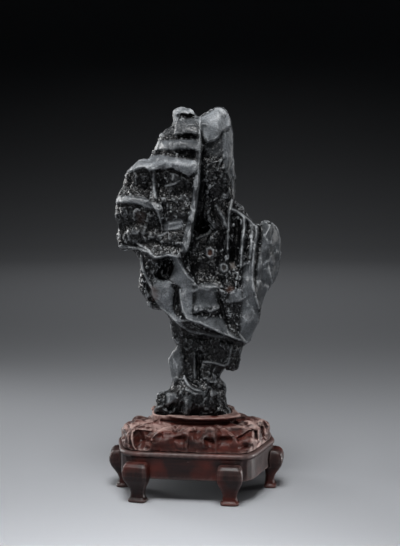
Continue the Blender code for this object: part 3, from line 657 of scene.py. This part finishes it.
# ---- the stone
GROOVES = rows_of(
    Stroke,
    ((6, 357, 6.5, 340, 6.5, 320, 6, 300, 5, 285, 4, 270, 2, 253), 4.5, -2.5, 0.9),
    ((4, 289, 3, 270, 2, 249), 7, -2, 0.8),
    ((4, 361, 7, 349, 10, 342), 1.8, -1.6),
    ((-20, 349, -9, 348.5, 1, 349), 4, -3),
    ((-32, 345, -27, 349, -24, 354), 3, -2.5),
    ((-39, 332, -34, 334, -28, 334, -25, 331), 3.5, -2.5),
    ((-17, 330, -13, 333, -7, 333, -3, 329, 0, 322), 3, -2.5),
    ((-23.5, 357, -24.5, 345, -25.5, 335), 1.8, -1.8),
    ((-18, 368.5, -11, 369, -4, 368), 3.4, -4.5, 0.8),
    ((-60, 312, -51, 314.5), 2.5, -1.8),
    ((-44, 313, -32, 315.5, -19, 312.5, -9, 307.5, -1, 311), 2.5, -2),
    ((-49, 305, -50, 295, -51, 288), 4, -2),
    ((-35, 302, -37, 293, -38, 285), 4, -2),
    ((-77, 279, -63, 280, -50, 275, -45, 273), 2, -1.6),
    ((-47, 279, -41, 272, -38, 263, -37, 255), 2.2, -2),
    ((-33, 281, -33, 265, -32, 249), 3.5, -2),
    ((-55, 242, -42, 242, -29, 239, -15, 237), 4, -2.5),
    ((39, 271, 40, 253, 40, 235, 39, 223), 5, -1.6, 0.8),
    ((50, 263, 51, 250, 50, 235, 49.5, 223), 3, -2, 0.8),
    ((63, 259, 64.5, 245, 62, 230, 59, 217, 57.5, 200, 58, 190), 2.6, -2, 0.8),
    ((45.5, 227, 46, 210), 1.6, -1.8),
    ((-37, 223, -29, 223, -25, 215, -32, 208, -39, 210), 5, -2),
    ((-53, 211, -51, 201, -47, 194), 3.5, -3),
    ((-47, 186, -43, 182), 3.5, -3),
    ((-24, 199, -19, 197, -22, 187, -23, 179), 3, -2, 0.8),
    ((-11, 158, -1, 157.5, 11, 154, 23, 150), 4, -2, 0.8),
    ((-1, 170, -4, 174), 2.5, -2),
    ((22, 187, 24, 179, 27, 169, 29, 161), 3.2, -2.5),
    ((35, 163, 41, 155), 5, -1.8),
    ((-13, 149, -1, 147, 15, 147), 3, -2),
    ((1, 133, 1, 119, 1.5, 107), 2.8, -2.5),
    ((-11, 110, -7, 102, 0, 97), 4, -2.5),
    ((15, 118, 14, 109), 2, -1.5),
    ((8, 104, 15, 99, 23, 95), 3, -2),
    ((-27, 77, -21, 82, -16, 80), 5, -3),
    ((-32, 90, -31.5, 81), 1.5, -1.5),
    ((39, 133, 38, 123), 2.5, -1.5),
)
RIDGES = rows_of(
    Stroke,
    ((3, 367, 3.3, 355, 3.5, 340, 2.5, 320, 1, 300, -0.5, 285, -2, 273, -5, 260, -7.5, 247, -10, 235), 2.4,
      2.2, 1.5),
    ((35, 285, 32.5, 273, 31.5, 260, 31, 245, 30.5, 235), 1.7, 2.2, 1.4),
    ((34, 276, 39, 274, 45, 270, 51, 266, 57, 260), 1.8, 2, 1.4),
    ((47, 268, 47.5, 257, 45.5, 245, 44.5, 230, 44, 219), 1.8, 2.2, 1.4),
    ((59, 258, 59.5, 250, 57.5, 237, 56, 223, 55.5, 209, 56.5, 197, 59, 187, 62, 177), 2, 2.4, 1.4),
    ((53, 263, 55, 253, 54, 240, 53, 227), 1.6, 1.3, 1.3),
    ((-69, 238, -59, 236.5, -49, 233, -44, 228, -37, 227.5, -29, 230, -21, 228.5), 1.8, 2, 1.4),
    ((-64, 244, -57, 240, -49, 235.5, -44, 229), 1.3, 1.2, 1.4),
    ((-21, 228, -17, 221, -13, 214, -9, 208, -4, 204), 2, 1.8, 1.3),
    ((-17, 195, -16, 185, -14, 175, -10, 167, -5, 165), 1.7, 2.2, 1.4),
    ((-5, 164.5, 3, 162.5, 13, 158, 23, 153, 33, 149, 43, 145, 50, 143), 1.8, 1.8, 1.4),
    ((-36, 178, -29, 172, -22, 165, -15, 158.5), 1.7, 2, 1.4),
    ((-56, 229, -55, 217, -50, 206, -44, 195), 1.7, 2, 1.4),
    ((-14, 158, -7, 153.5, 3, 151.5, 15, 149.5, 25, 148), 1.6, 1.5, 1.4),
    ((-2.2, 133, -2.5, 120, -2, 107), 1.5, 1.4, 1.4),
    ((6, 123.5, 18, 122, 27, 119, 31, 121, 33, 129, 34.5, 139), 1.5, 1.5, 1.4),
    ((-13, 107, -9, 100.5, -3, 96, 3, 94), 1.7, 2, 1.4),
    ((-11, 96, -3, 91, 5, 91), 1.6, 1, 1.3),
    ((-28.5, 91, -28, 82), 2.8, 1.5, 1.2),
    ((-11, 83, -11, 72), 3.5, 1.8, 1.2),
    ((0, 246, 6, 249.5, 12, 252), 1.7, 2, 1.4),
    ((-43.5, 317, -43.5, 305, -43, 295, -41, 287), 2, 0.8, 1.4),
    ((-45, 281, -39, 273, -36.5, 263), 1.5, 1.6, 1.4),
    ((-31, 299, -23, 301, -17, 304), 1.3, 1, 1.3),
    ((-39, 249, -34, 250.5, -30, 253), 1.4, 0.8, 1.3),
    ((-30, 260, -23, 262, -17, 263), 3.5, 1.2, 1.1),
    ((19, 279, 22, 274, 26, 267, 29, 259), 2, 1, 1.2),
    ((24, 220, 27, 221, 30, 219, 30, 215, 27, 213, 24, 215, 24, 220), 1.5, 1.4, 1.3),
    ((10, 236, 13, 237, 16, 235, 16, 230, 13, 228, 10, 230, 10, 236), 1.5, 1.2, 1.3),
)
SHELVES = rows_of(
    Shelf,
    ((-69, 313, -61, 316.5, -54, 318.5, -47, 315, -37, 316.5, -25, 318, -17, 314, -9, 309.5, -1, 315), 11,
      3.4),
    ((-80, 282.5, -69, 283.5, -61, 282.5, -47, 278, -38, 275), 6.5, 3),
    ((-37, 335, -27, 335.5, -17, 337.5, -7, 337, 2, 335.5), 9, 2.6),
    ((-22, 350.5, -11, 352, 2, 351), 7, 2.2),
    ((5, 352, 10, 343, 16, 344.5, 21, 348, 23.5, 354, 33, 359.5), 28, 5),
    ((-10, 235, -7.5, 247, -5, 260, -2, 273, -0.2, 285, 1.3, 300, 2.6, 320, 3.4, 340, 3, 363), 7, 2.8),
    ((-17, 164, -5, 164.5, 3, 162.5, 13, 158, 23, 153, 33, 149, 43, 145, 50, 143), 12, 3),
    ((-77, 239, -69, 237.5, -59, 236, -49, 232.5, -42, 227.5, -29, 229.5, -19, 228), 6, 2.6),
    ((-4, 193.5, 2, 196.5, 10, 195, 16, 198, 22, 197.5), 6, 1.5),
    ((-3, 172.5, 5, 175.5, 14, 174, 22, 177.5), 6, 1.6),
    ((-34, 255, -25, 255.5, -16, 257), 6, 1.8),
    ((31, 183, 39, 184, 46, 186), 7, 1.8),
    ((-40, 77, -29, 81, -21, 86), 8, 2),
)
# Polished ledges in front; their polish also paints a sheen on them, paler grey where they catch the lights.
POLISHED_AND_SHEENED = rows_of(
    Patch,
    ((0, 365.5, 9, 371, 16, 374.5, 21, 378.5, 29, 375, 34, 367, 34, 357, 25, 354, 22.5, 347, 16, 344, 9, 343,
      6, 352, 3, 361), 1),
    ((25, 357, 37, 363, 38, 291, 32, 307, 26, 325), 0.7, 4),
    ((-73, 311, -63, 322, -54, 328, -37, 330, -19, 327, -1, 324, 0, 317, -7, 310, -15, 314, -25, 318, -37,
      317, -47, 315, -54, 319, -63, 314), 1),
    ((-40, 344, -22, 345, 2, 345, 2, 336, -11, 337, -25, 335, -42, 335), 0.7),
    ((-35, 353, -17, 361, 2, 367, 2, 353, -17, 353, -29, 348), 0.35),
    ((-82, 288, -67, 289, -54, 288, -45, 283, -37, 281, -39, 278, -47, 277, -61, 281.5, -82, 283), 0.7),
    ((-26, 373, -19, 379, -4, 379, 1, 367, -5, 372, -17, 372, -20, 363, -25, 360), 0.9),
    ((-1, 325, 3, 325, 0, 285, -7, 249, -9, 233, -17, 233, -13, 250, -5, 280), 0.45),
    ((-26, 359, -17, 365, 1, 367.5, 2, 354, -11, 354, -26, 351), 0.45),
    ((8, 345, 23, 347, 29, 335, 21, 329, 9, 333), 0.3, 5),
    ((65, 265, 85, 253, 85, 223, 77, 197, 63, 175, 59, 195, 61, 223, 66, 245), 0.5),
    ((46, 223, 57, 223, 57, 195, 61, 177, 62, 163, 53, 142, 43, 145, 46, 185), 0.6, 5),
    ((-47, 193, -39, 205, -27, 204, -24, 195, -25, 175, -14, 159, -36, 176), 0.9),
    ((-25, 229, -17, 225, -9, 208, -5, 203, -5, 165, -10, 166, -16, 185, -15, 197, -27, 206, -22, 219), 0.9),
    ((-3, 199, 6, 201, 21, 202, 18, 190, 21, 178, 8, 176, -3, 178, 0, 188), 0.5, 5),
    ((-5, 169, 25, 167, 31, 155, 41, 147, 13, 158, -5, 165), 0.45),
    ((34, 194, 44, 196, 45, 184, 31, 183), 0.8),
    ((-33, 260, -27, 263, -16, 263, -14, 259, -21, 255, -32, 255), 1, 2),
    ((-29, 140, -17, 140, -15, 117, -19, 109, -27, 97), 0.55, 5),
    ((-31, 93, -21, 91, -19, 83, -31, 81), 0.7),
    ((-13, 89, -6, 89, -6, 71, -14, 71), 0.6),
)
STAINED = rows_of(
    Patch,
    ((11, 233, 12.5, 235.5, 15, 234.5, 15.5, 231, 13, 229, 11, 230.5), 0.6, 3),
    ((29, 196, 32, 199, 37, 197, 35, 193, 31, 192.5), 0.35, 4),
    ((-46, 198, -40, 199, -39, 185, -44, 185), 0.35, 4),
    ((-61, 273, -52, 273, -52, 263, -59, 261), 0.12, 5),
)
# Painted shade: panels that lose their painted glints, sheen and highlights and read darker.
SHADED_PANELS = rows_of(
    Patch,
    ((2, 340, 12, 335, 12, 285, 10, 245, -5, 239, 0, 270, 3, 305), 1, 3),
    ((-17, 159, 25, 153, 43, 140, 29, 107, -13, 109, -19, 140), 0.85, 6),
    ((27, 147, 49, 145, 49, 111, 25, 111), 0.9, 5),
    ((-3, 113, 37, 115, 37, 67, -31, 67, -31, 81, -13, 85), 0.9, 6),
    ((-3, 87, 37, 93, 37, 67, -7, 67), 0.6, 4),
    ((8, 285, 35, 285, 35, 239, -1, 239), 0.7, 6),
    ((-83, 279, -37, 273, -5, 249, -13, 229, -81, 229), 0.5, 6),
    ((-79, 315, -1, 311, -5, 285, -47, 281, -81, 285), 0.5, 6),
    ((6, 344, 36, 344, 36, 285, 6, 285), 0.45, 6),
    ((-24, 365, 3, 365, 3, 325, -47, 325), 0.5, 4),
    ((-45, 97, -13, 99, -11, 67, -47, 67), 0.6, 5),
    ((-1, 245, 43, 239, 49, 201, -3, 201), 0.4, 6),
)
CHALKED = rows_of(
    Patch,
    ((33, 222, 37, 222, 38, 217, 34, 216), 0.4, 3),
    ((25, 219, 29, 219, 29, 215, 25, 215), 0.15, 2),
)


@dataclass
class Stone(Piece):
    """The stone: the solid's form with finer lines, the etched panels, and the polish and painted sheen of
    its ledges.
    """

    node: str = "scholars_rock"
    voxel: float = 0.95
    relax_turns: int = 9
    most_triangles: int = 192_000
    finish: Limestone = Limestone()
    chips: Pattern = Pattern((13, 13, 19), 6.1)
    chip_depth: float = 3.4
    flutes: Pattern = Pattern((9, 9, 38), 2.2)  # all round, but not in front
    flute_depth: float = 1.1
    small_chips: Pattern = Pattern((6, 6, 8), 2.7)
    small_chip_share: float = 0.6  # their depth, as a share of the larger ones'
    pits: Pattern = Pattern((3.9, 3.9, 3.9), 1.7)
    pit_depth: float = 1.3
    fine_pits: Pattern = Pattern((2.418, 2.418, 2.418), 8.1)
    fine_pit_share: float = 0.7
    pit_width: float = 0.5  # in shares of its size
    grain: Pattern = Pattern((3.4, 3.4, 4.6), 4.4)
    grain_depth: float = 0.5
    grain_loss: float = 0.8  # how much of the grain the polish takes away
    shade_loss: float = 0.7  # how much of the polish and of the bare edges a panel in painted shade has lost
    ridge_polish_and_sheen: float = 0.55
    ridge_width: float = 1.2  # how far out its polish reaches, in shares of the ridge's reach
    crest_turns: int = 24  # over how wide a place a crest is told from its surroundings
    crest_from: float = 0.25  # mm that it stands out of them where its polish starts
    crest_fade: float = 0.9  # mm more where its polish is whole
    crest_drift: Pattern = Pattern((24, 24, 34), 5.3)  # moves that start by up to `drift` mm
    drift: float = 0.5
    crest_polish_and_sheen: float = 1.15
    crest_loss: float = 0.78  # how much less a crest is polished in front, where the ledges are drawn
    edge_width: float = 0.9  # mm over which a drawn edge fades to each side
    edge_core: float = 1.5  # how much wider it is rubbed bare and painted bright, in the same measure
    edge_from: float = -0.2  # how far towards the front its normal points where it starts to show
    edge_breaks: Pattern = Pattern((7, 7, 7), 9.4)
    break_levels: tuple = (0.75, 1.6)  # how much of the edges is left, and how sharply they break off
    edge_share: float = 0.85
    arris_turns: int = 6
    arris_levels: tuple = (0.3, 0.35)  # mm that an arris stands out where it starts to wear and take a painted highlight, and mm more
    arris_share: float = 0.8
    far_dullness: float = 0.6  # all round but in front
    far_from: float = -0.4

    def polish_and_sheen(self, work: Carving) -> np.ndarray:
        """Say how polished and painted with sheen each point is: its outlined ledges in front, and its crests
        all round.
        """
        flat = drawn(work.places)
        shares = np.zeros(len(flat))
        for patch in POLISHED_AND_SHEENED:
            shares = np.maximum(shares, patch.strength * inside(flat, patch.outline, patch.edge))
        for ridge in RIDGES:
            near = smoothstep(self.ridge_width - distance_to(flat, ridge.line) / ridge.reach)
            shares = np.maximum(shares, self.ridge_polish_and_sheen * near)
        shares *= 1 - self.shade_loss * work.painted(SHADED_PANELS)
        front = work.facing()
        height = work.height(self.crest_turns) - self.crest_from + self.drift * work.noise(self.crest_drift)
        crests = self.crest_polish_and_sheen * smoothstep(height / self.crest_fade)
        return np.maximum(shares * front, crests * (1 - self.crest_loss * front)).clip(0, 1)

    def worn_and_highlit(self, work: Carving) -> np.ndarray:
        """Say how far each point is worn bare with a painted highlight: along the crests' and ledges' very
        edges.
        """
        flat = drawn(work.places)
        away = np.min([distance_to(flat, one.line) for one in RIDGES + SHELVES], axis=0)
        cover, contrast = self.break_levels
        broken = smoothstep(cover + contrast * work.noise(self.edge_breaks))
        edges = smoothstep(self.edge_core - away / self.edge_width) * work.facing(self.edge_from) * broken
        start, fade = self.arris_levels
        arrises = smoothstep((work.height(self.arris_turns) - start) / fade) * self.arris_share
        return np.maximum(self.edge_share * edges, arrises) * (1 - self.shade_loss * work.painted(SHADED_PANELS))

    def carve(self, work: Carving) -> None:
        """Cut the chips, the drawn lines and ledges, the flutes and the pits."""
        work.push(self.chip_depth * work.chips(self.chips))
        work.stroke(GROOVES)
        work.stroke(RIDGES)
        work.shelve(SHELVES)
        away = 1 - work.facing()
        flutes = 1 - 2 * np.abs(work.noise(self.flutes))
        work.push(away * self.flute_depth * (smoothstep(flutes) - 0.5))
        polish_and_sheen = (self.polish_and_sheen(work) / SMOOTH_FROM).clip(0, 1)
        work.push((1 - polish_and_sheen) * self.chip_depth * self.small_chip_share * work.chips(self.small_chips))
        pits, fine = (smoothstep(1 - work.cells(one) / self.pit_width) for one in (self.pits, self.fine_pits))
        grain = self.grain_depth * work.noise(self.grain) * (1 - self.grain_loss * polish_and_sheen)
        work.push(-(1 - polish_and_sheen) * (self.pit_depth * np.maximum(pits, self.fine_pit_share * fine)) + grain)

    def build(self, frame: dict) -> bpy.types.Object:
        """Build the stone, dress it and let it stand for its solid.

        Args:
            frame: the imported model.

        Returns:
            The finished piece.
        """
        work = self.carved(frame)
        # the polish, which also paints a paler grey sheen
        work.paint("polish_and_sheen", self.polish_and_sheen(work))
        # the worn edges, which also carry a painted highlight
        work.paint("worn_and_highlit", self.worn_and_highlit(work))
        far = self.far_dullness * (1 - work.facing(self.far_from))
        # painted shade on the panels in front, and the back dulled all round
        work.paint("dull_and_shade", np.maximum(work.painted(SHADED_PANELS), far))
        work.paint("stain", work.painted(STAINED))
        work.paint("chalk", work.painted(CHALKED))
        piece = dressed("limestone", work.mesh, self.finish.material())
        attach(piece, "root")
        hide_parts(self.node)
        return piece


# ---- the stand
MOUND_HOLES = rows_of(
    Stroke,
    ((-59, 51, -57.5, 45, -57, 39), 6.5, -4.5, 0.8),
    ((-59, 38, -55, 37.5), 3, -2),
    ((-69, 59, -67.5, 56), 2.4, -2.6),
    ((-59, 58, -53, 58), 1.9, -1.8),
    ((-53, 60, -45, 62), 1.9, -1.8),
    ((-54, 64.5, -47, 64.5), 1.6, -1.4),
    ((-25, 60.5, -21.5, 58), 2.2, -3),
    ((-27, 57, -24, 54), 2, -2.2),
    ((-44, 47, -35, 48, -26, 50.5), 5, -1.6),
    ((-51, 37, -47, 43), 4, -1.8),
    ((-22, 45.5, -13, 46.5), 3.6, -3),
    ((-27, 48, -24, 42, -21, 36), 3.6, -1.2),
    ((-6, 51.5, 3, 52), 3.4, -2.4),
    ((-7, 48, -8, 38), 2.6, -0.9),
    ((5, 48, 4, 40), 2.6, -0.8),
    ((9, 45, 15, 43.5), 3.6, -3),
    ((24, 45.5, 33, 45.5), 3.8, -3),
    ((22, 53, 32, 52), 2.6, -1.2),
    ((41.5, 45, 48, 49, 55, 53.5), 3.6, -3.6),
    ((34, 53.5, 43, 55.5), 2, -1.2),
    ((43, 36.5, 53, 39), 3, -2.2),
    ((45, 64, 49, 61), 3, -1.8),
    ((58.5, 53, 59, 46), 2.4, -2.6),
    ((65, 57, 65, 49), 2.6, -2.6),
    ((67, 64, 69.5, 58), 2.6, -2.4),
    ((-35, 64, -19, 62, 8, 61.5, 35, 62.5, 46, 65.5), 3, -2.6, 0.8),
)
MOUND_RIBS = rows_of(
    Stroke,
    ((-61, 36, -64, 40, -65.2, 47, -64, 53.5, -60, 56, -53, 56, -46, 55), 2.2, 1.9, 1.1),
    ((-70, 51, -67, 56.5, -61, 60.5, -52, 63, -45, 63.5), 2.2, 1.4, 1.1),
    ((-72.5, 61.5, -71, 55, -69, 49, -68, 39), 2.2, 1.3, 1.1),
    ((-48, 41, -46, 47.5, -41, 52.5, -34, 54.5, -27, 53.5), 4, 1.8),
    ((-45, 59.5, -37, 60.5, -28, 59), 4.5, 1),
    ((-21, 55, -11, 56, 3, 57.5, 23, 58, 39, 58, 49, 57.5, 60, 56), 3, 1),
    ((-11, 53, -11, 44, -10.5, 35), 4, 1.1),
    ((-2, 47, -1, 38), 5, 1),
    ((17, 53, 17.5, 44, 18.5, 35), 4, 1.2),
    ((37, 52, 37, 43, 34, 36), 4, 1.2),
    ((46, 58.5, 53, 62, 61, 64.5, 71, 64.5), 2.2, 1.4, 1.1),
    ((55.5, 54, 56, 45, 57.5, 36, 59, 31), 2, 1.6, 1.1),
    ((61.5, 55, 61.5, 45), 1.7, 1.4, 1.1),
    ((68.5, 56, 68.5, 47), 1.7, 1.4, 1.1),
)
# Painted shade: in these patches the mound's tone is held plain, without its paler rubbed highlight, dust and
# top light.
MOUND_SHADED = rows_of(
    Patch,
    ((-70, 61, -68, 68, -60, 70.5, -54, 67.5, -58, 64.5, -64, 61.5), 0.9, 2),
    ((-41, 53, -11, 55, 43, 55.5, 54, 53, 54, 33, -47, 33, -45, 45), 0.75, 3),
    ((-29, 68, 3, 66, 39, 67.5, 49, 68, 46, 63, 39, 59, 8, 57.5, -19, 60), 1, 2),
    ((-63, 53, -59, 56, -52, 54, -52, 38, -60, 36, -63, 44), 0.9, 2),
)
# Painted highlight: patches of the mound painted paler where the light falls on it.
MOUND_LIT = rows_of(
    Patch,
    ((-48, 62, -37, 64, -26, 61, -26, 56, -37, 54, -47, 54), 0.2, 2),
    ((-47, 74, -37, 71, -30, 67, -30, 61, -46, 62), 0.24, 2),
    ((54, 47, 65, 45, 76, 45, 75, 39, 58, 29, 53, 33), 0.25, 3),
    ((52, 64, 62, 64.5, 62, 57, 52, 57), 0.2, 2),
    ((-73, 61, -64, 61, -51, 65, -46, 67, -46, 63, -61, 59, -68, 55, -73, 57), 0.25, 2),
)
MOUND_KNOBS = rows_of(
    Knob,
    ((-60, -6, 66), 11, 5.5),
    ((-72, -14, 61), 7, 3),
    ((-70, -30, 56), 7, 2.5),
    ((52, -20, 67), 12, 3.5),
    ((66, -8, 64), 9, 4),
    ((69, -18, 58), 6, 2.5),
    ((44, 30, 62), 13, 4),
    ((60, 22, 60), 11, 3.5),
    ((14, 50, 60), 12, 4),
    ((-14, 46, 61), 12, 3.5),
    ((-40, 44, 60), 13, 4),
    ((-62, 24, 61), 11, 4),
    ((-50, -34, 66), 9, 2.5),
)


class Grain(Enum):
    """Which way the wood's streaks run, as their lengths along X, Y and Z in millimetres."""

    ALONG_X = (34, 5, 2.6)
    UPRIGHT = (2.4, 2.4, 26)
    CARVED = (16, 9, 4)


@dataclass
class CarvedPiece(Piece):
    """A piece of the stand, with softened arrises, tool marks, and rubbed edges that carry a painted
    highlight.
    """

    name: str
    grain: Grain
    wood: dict = field(default_factory=dict)  # where its wood differs from the rest
    ripple: float = 0.12  # how uneven the scraper left it, in mm
    ripples: Pattern = Pattern((6, 6, 6), 3.9)
    height_turns: int = 10
    height_share: float = 0.55  # what a millimetre above its surroundings adds to "height"

    def carve(self, work: Carving) -> None:
        """Leave the scraper's marks."""
        work.push(self.ripple * work.noise(self.ripples))

    def heights(self, work: Carving) -> np.ndarray:
        """Say how far each point stands out, as "height" counts it from 0.5."""
        return self.height_share * work.height(self.height_turns)

    def build(self, frame: dict) -> bpy.types.Object:
        """Build the piece, dress it and let it stand for its solid.

        Args:
            frame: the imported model.

        Returns:
            The finished piece.
        """
        work = self.carved(frame)
        work.paint("height", 0.5 + self.heights(work))
        finish = Rosewood("rosewood_" + self.grain.name.lower(), self.grain.value, **self.wood)
        piece = dressed(self.name, work.mesh, finish.material())
        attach(piece, "root")
        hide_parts(self.node)
        return piece


@dataclass
class Rockwork(CarvedPiece):
    """The mound: gouged all over in facets, with knobs, hollows and ribs, and dust and painted light on its
    upper faces.
    """

    gouge: float = 1.5  # how far the gouge's facets tilt, in mm
    facets: Pattern = Pattern((9, 9, 7), 4.3)
    dust_and_top_light: float = 0.14  # what the dust and painted top light add to "height"
    dust_clouds: Pattern = Pattern((9, 9, 9), 7.7)
    dust_levels: tuple = (0.9, 2)  # how much of the upper faces it covers, and how sharply it ends
    upward_levels: tuple = (0.55, 0.4)  # how far up a normal points where dust and painted top light start, and how much more

    def carve(self, work: Carving) -> None:
        """Swell the knobs, gouge the facets, and cut the hollows and the ribs."""
        work.swell(MOUND_KNOBS)
        work.push(self.gouge * work.chips(self.facets))
        work.stroke(MOUND_HOLES)
        work.stroke(MOUND_RIBS)
        super().carve(work)

    def heights(self, work: Carving) -> np.ndarray:
        """Add the dust and painted top light, and the painted shade and highlight that rub it less or more
        than its height says.
        """
        (start, fade), (cover, contrast) = self.upward_levels, self.dust_levels
        upward = smoothstep((work.normals[:, 2] - start) / fade)
        # dust and painted top light on the upper faces
        dusty_and_toplit = self.dust_and_top_light * upward * smoothstep(cover + contrast * work.noise(self.dust_clouds))
        # painted shade holds the tone plain in the shaded patches, and painted highlight pales the lit ones
        return (super().heights(work) + dusty_and_toplit) * (1 - work.painted(MOUND_SHADED)) + work.painted(MOUND_LIT)


@dataclass
class Stand:
    """The whole stand: its carved mound, its apron with a bead, and its six legs."""

    legs: tuple = ("front_left", "front_right", "left", "right", "back_left", "back_right")
    mound_wood: dict = field(
        default_factory=lambda: {"heart": "1c0a08", "sap": "451e17", "rubbed": "b59c95", "roughness": 0.5}
    )

    def build(self, frame: dict) -> list:
        """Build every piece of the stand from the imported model."""
        pieces = [
            Rockwork("stand_top", 0.8, 3, 130_000, "carved_mound", Grain.CARVED, self.mound_wood),
            CarvedPiece("stand_apron", 0.8, 2, 60_000, "beaded_apron", Grain.ALONG_X),
        ]
        for leg in self.legs:
            pieces.append(CarvedPiece("leg_" + leg, 0.6, 4, 16_000, "shaped_leg_" + leg, Grain.UPRIGHT))
        return [piece.build(frame) for piece in pieces]


# ---- the studio
@dataclass(frozen=True)
class Softbox:
    """A square studio light: where it hangs, what it looks at, its size in metres and its power in watts."""

    name: str
    place: tuple
    target: tuple
    size: tuple
    power: float
    spread: float  # degrees; less than 180 is a honeycomb grid in front of the box


SOFTBOXES = rows_of(
    Softbox,
    ("top_light", (-0.05, -0.45, 1.4), (0, 0, 0.15), (0.7, 0.5), 8, 115),
    ("key_light", (-0.95, -0.15, 0.85), (0, 0, 0.24), (0.4, 0.6), 0.7, 90),
    ("front_card", (-0.35, -1.25, 0.75), (0, 0, 0.27), (0.9, 0.7), 0.35, 45),
    ("right_light", (0.95, 0.4, 0.42), (0, 0, 0.24), (0.35, 0.7), 0.35, 60),
    ("low_right_light", (0.8, 0.1, 0.035), (0.07, -0.02, 0.035), (0.5, 0.04), 0.105, 6),
    ("left_light", (-0.8, 0.6, 0.45), (0, 0, 0.2), (0.3, 0.8), 1.25, 60),
    ("floor_light", (-0.05, -0.7, 1.1), (-0.06, -0.38, 0), (0.5, 0.3), 1.6, 38),
    ("sweep_light", (0, 0.8, 1.8), (0, 2.2, 0), (1.4, 0.3), 2.6, 78),
)


@dataclass
class Studio:
    """The floor, the lights, the surroundings and the camera."""

    floor: PaleFloor
    render_height: int = 546  # pixels, one for each millimetre of the board
    floor_reach: float = 2.6  # metres from the middle to where the paper starts to rise
    sweep_radius: float = 2.4
    sweep_steps: int = 12
    spokes: int = 96
    around: str = "26292b"
    around_strength: float = 0.1

    def add_floor(self) -> None:
        """Lay the paper on the ground, with its far rim swept up all round so that no horizon shows."""
        turn, slice_angle = math.radians(90) / self.sweep_steps, math.radians(360) / self.spokes
        places = [(0.0, 0.0, 0.0)]
        for step in range(self.sweep_steps + 1):
            out = self.floor_reach + self.sweep_radius * math.sin(turn * step)
            rise = self.sweep_radius * (1 - math.cos(turn * step))
            angles = [slice_angle * spoke for spoke in range(self.spokes)]
            places += [(out * math.cos(angle), out * math.sin(angle), rise) for angle in angles]
        faces = []
        for here in range(1, self.spokes + 1):
            there = here % self.spokes + 1
            faces.append((0, here, there))
            for inner in range(0, self.sweep_steps * self.spokes, self.spokes):
                outer = inner + self.spokes
                faces.append((inner + here, outer + here, outer + there, inner + there))
        mesh = bpy.data.meshes.new("paper_floor")
        mesh.from_pydata(places, [], faces)
        mesh.materials.append(self.floor.material())
        mesh.shade_smooth()
        add_object("paper_floor", mesh)

    def add_lights(self) -> None:
        """Hang the softboxes and set the even light of the room."""
        for box in SOFTBOXES:
            light = bpy.data.lights.new(box.name, "AREA")
            light.shape, light.size, light.size_y = "RECTANGLE", *box.size
            light.energy, light.spread = box.power, math.radians(box.spread)
            lamp = bpy.data.objects.new(box.name, light)
            lamp.location = box.place
            aim = Vector(box.target) - Vector(box.place)
            lamp.rotation_euler = aim.to_track_quat("-Z", "Y").to_euler()
            bpy.context.scene.collection.objects.link(lamp)
        world = bpy.data.worlds.new("studio")
        world.use_nodes = True
        background = world.node_tree.nodes["Background"]
        background.inputs["Color"].default_value = linear(self.around)
        background.inputs["Strength"].default_value = self.around_strength
        bpy.context.scene.world = world

    def add_camera(self) -> None:
        """Place the camera in front, a little above the middle, looking slightly down."""
        data = bpy.data.cameras.new("camera")
        data.sensor_fit, data.sensor_width = "AUTO", 36.0
        data.lens = BOARD_DISTANCE / self.render_height * data.sensor_width
        data.clip_start, data.clip_end = 0.05, 50.0
        camera = bpy.data.objects.new("camera", data)
        camera.location = Vector(EYE) * MM
        camera.rotation_euler = (math.radians(90 - LOOK_DOWN), 0, 0)
        bpy.context.scene.collection.objects.link(camera)
        bpy.context.scene.camera = camera

    def build(self) -> None:
        """Set up the whole studio."""
        self.add_floor()
        self.add_lights()
        self.add_camera()
        bpy.context.scene.view_settings.view_transform = "Standard"


def main() -> None:
    """Load the frame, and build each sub-assembly."""
    logging.basicConfig(level=logging.INFO, format="%(message)s")
    noise.seed_set(NOISE_SEED)
    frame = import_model()
    pieces = [Stone().build(frame), *Stand().build(frame)]
    for piece in pieces:
        LOG.info("%s: %d faces", piece.name, len(piece.data.polygons))
    Studio(PaleFloor()).build()


if __name__ == "__main__":
    main()
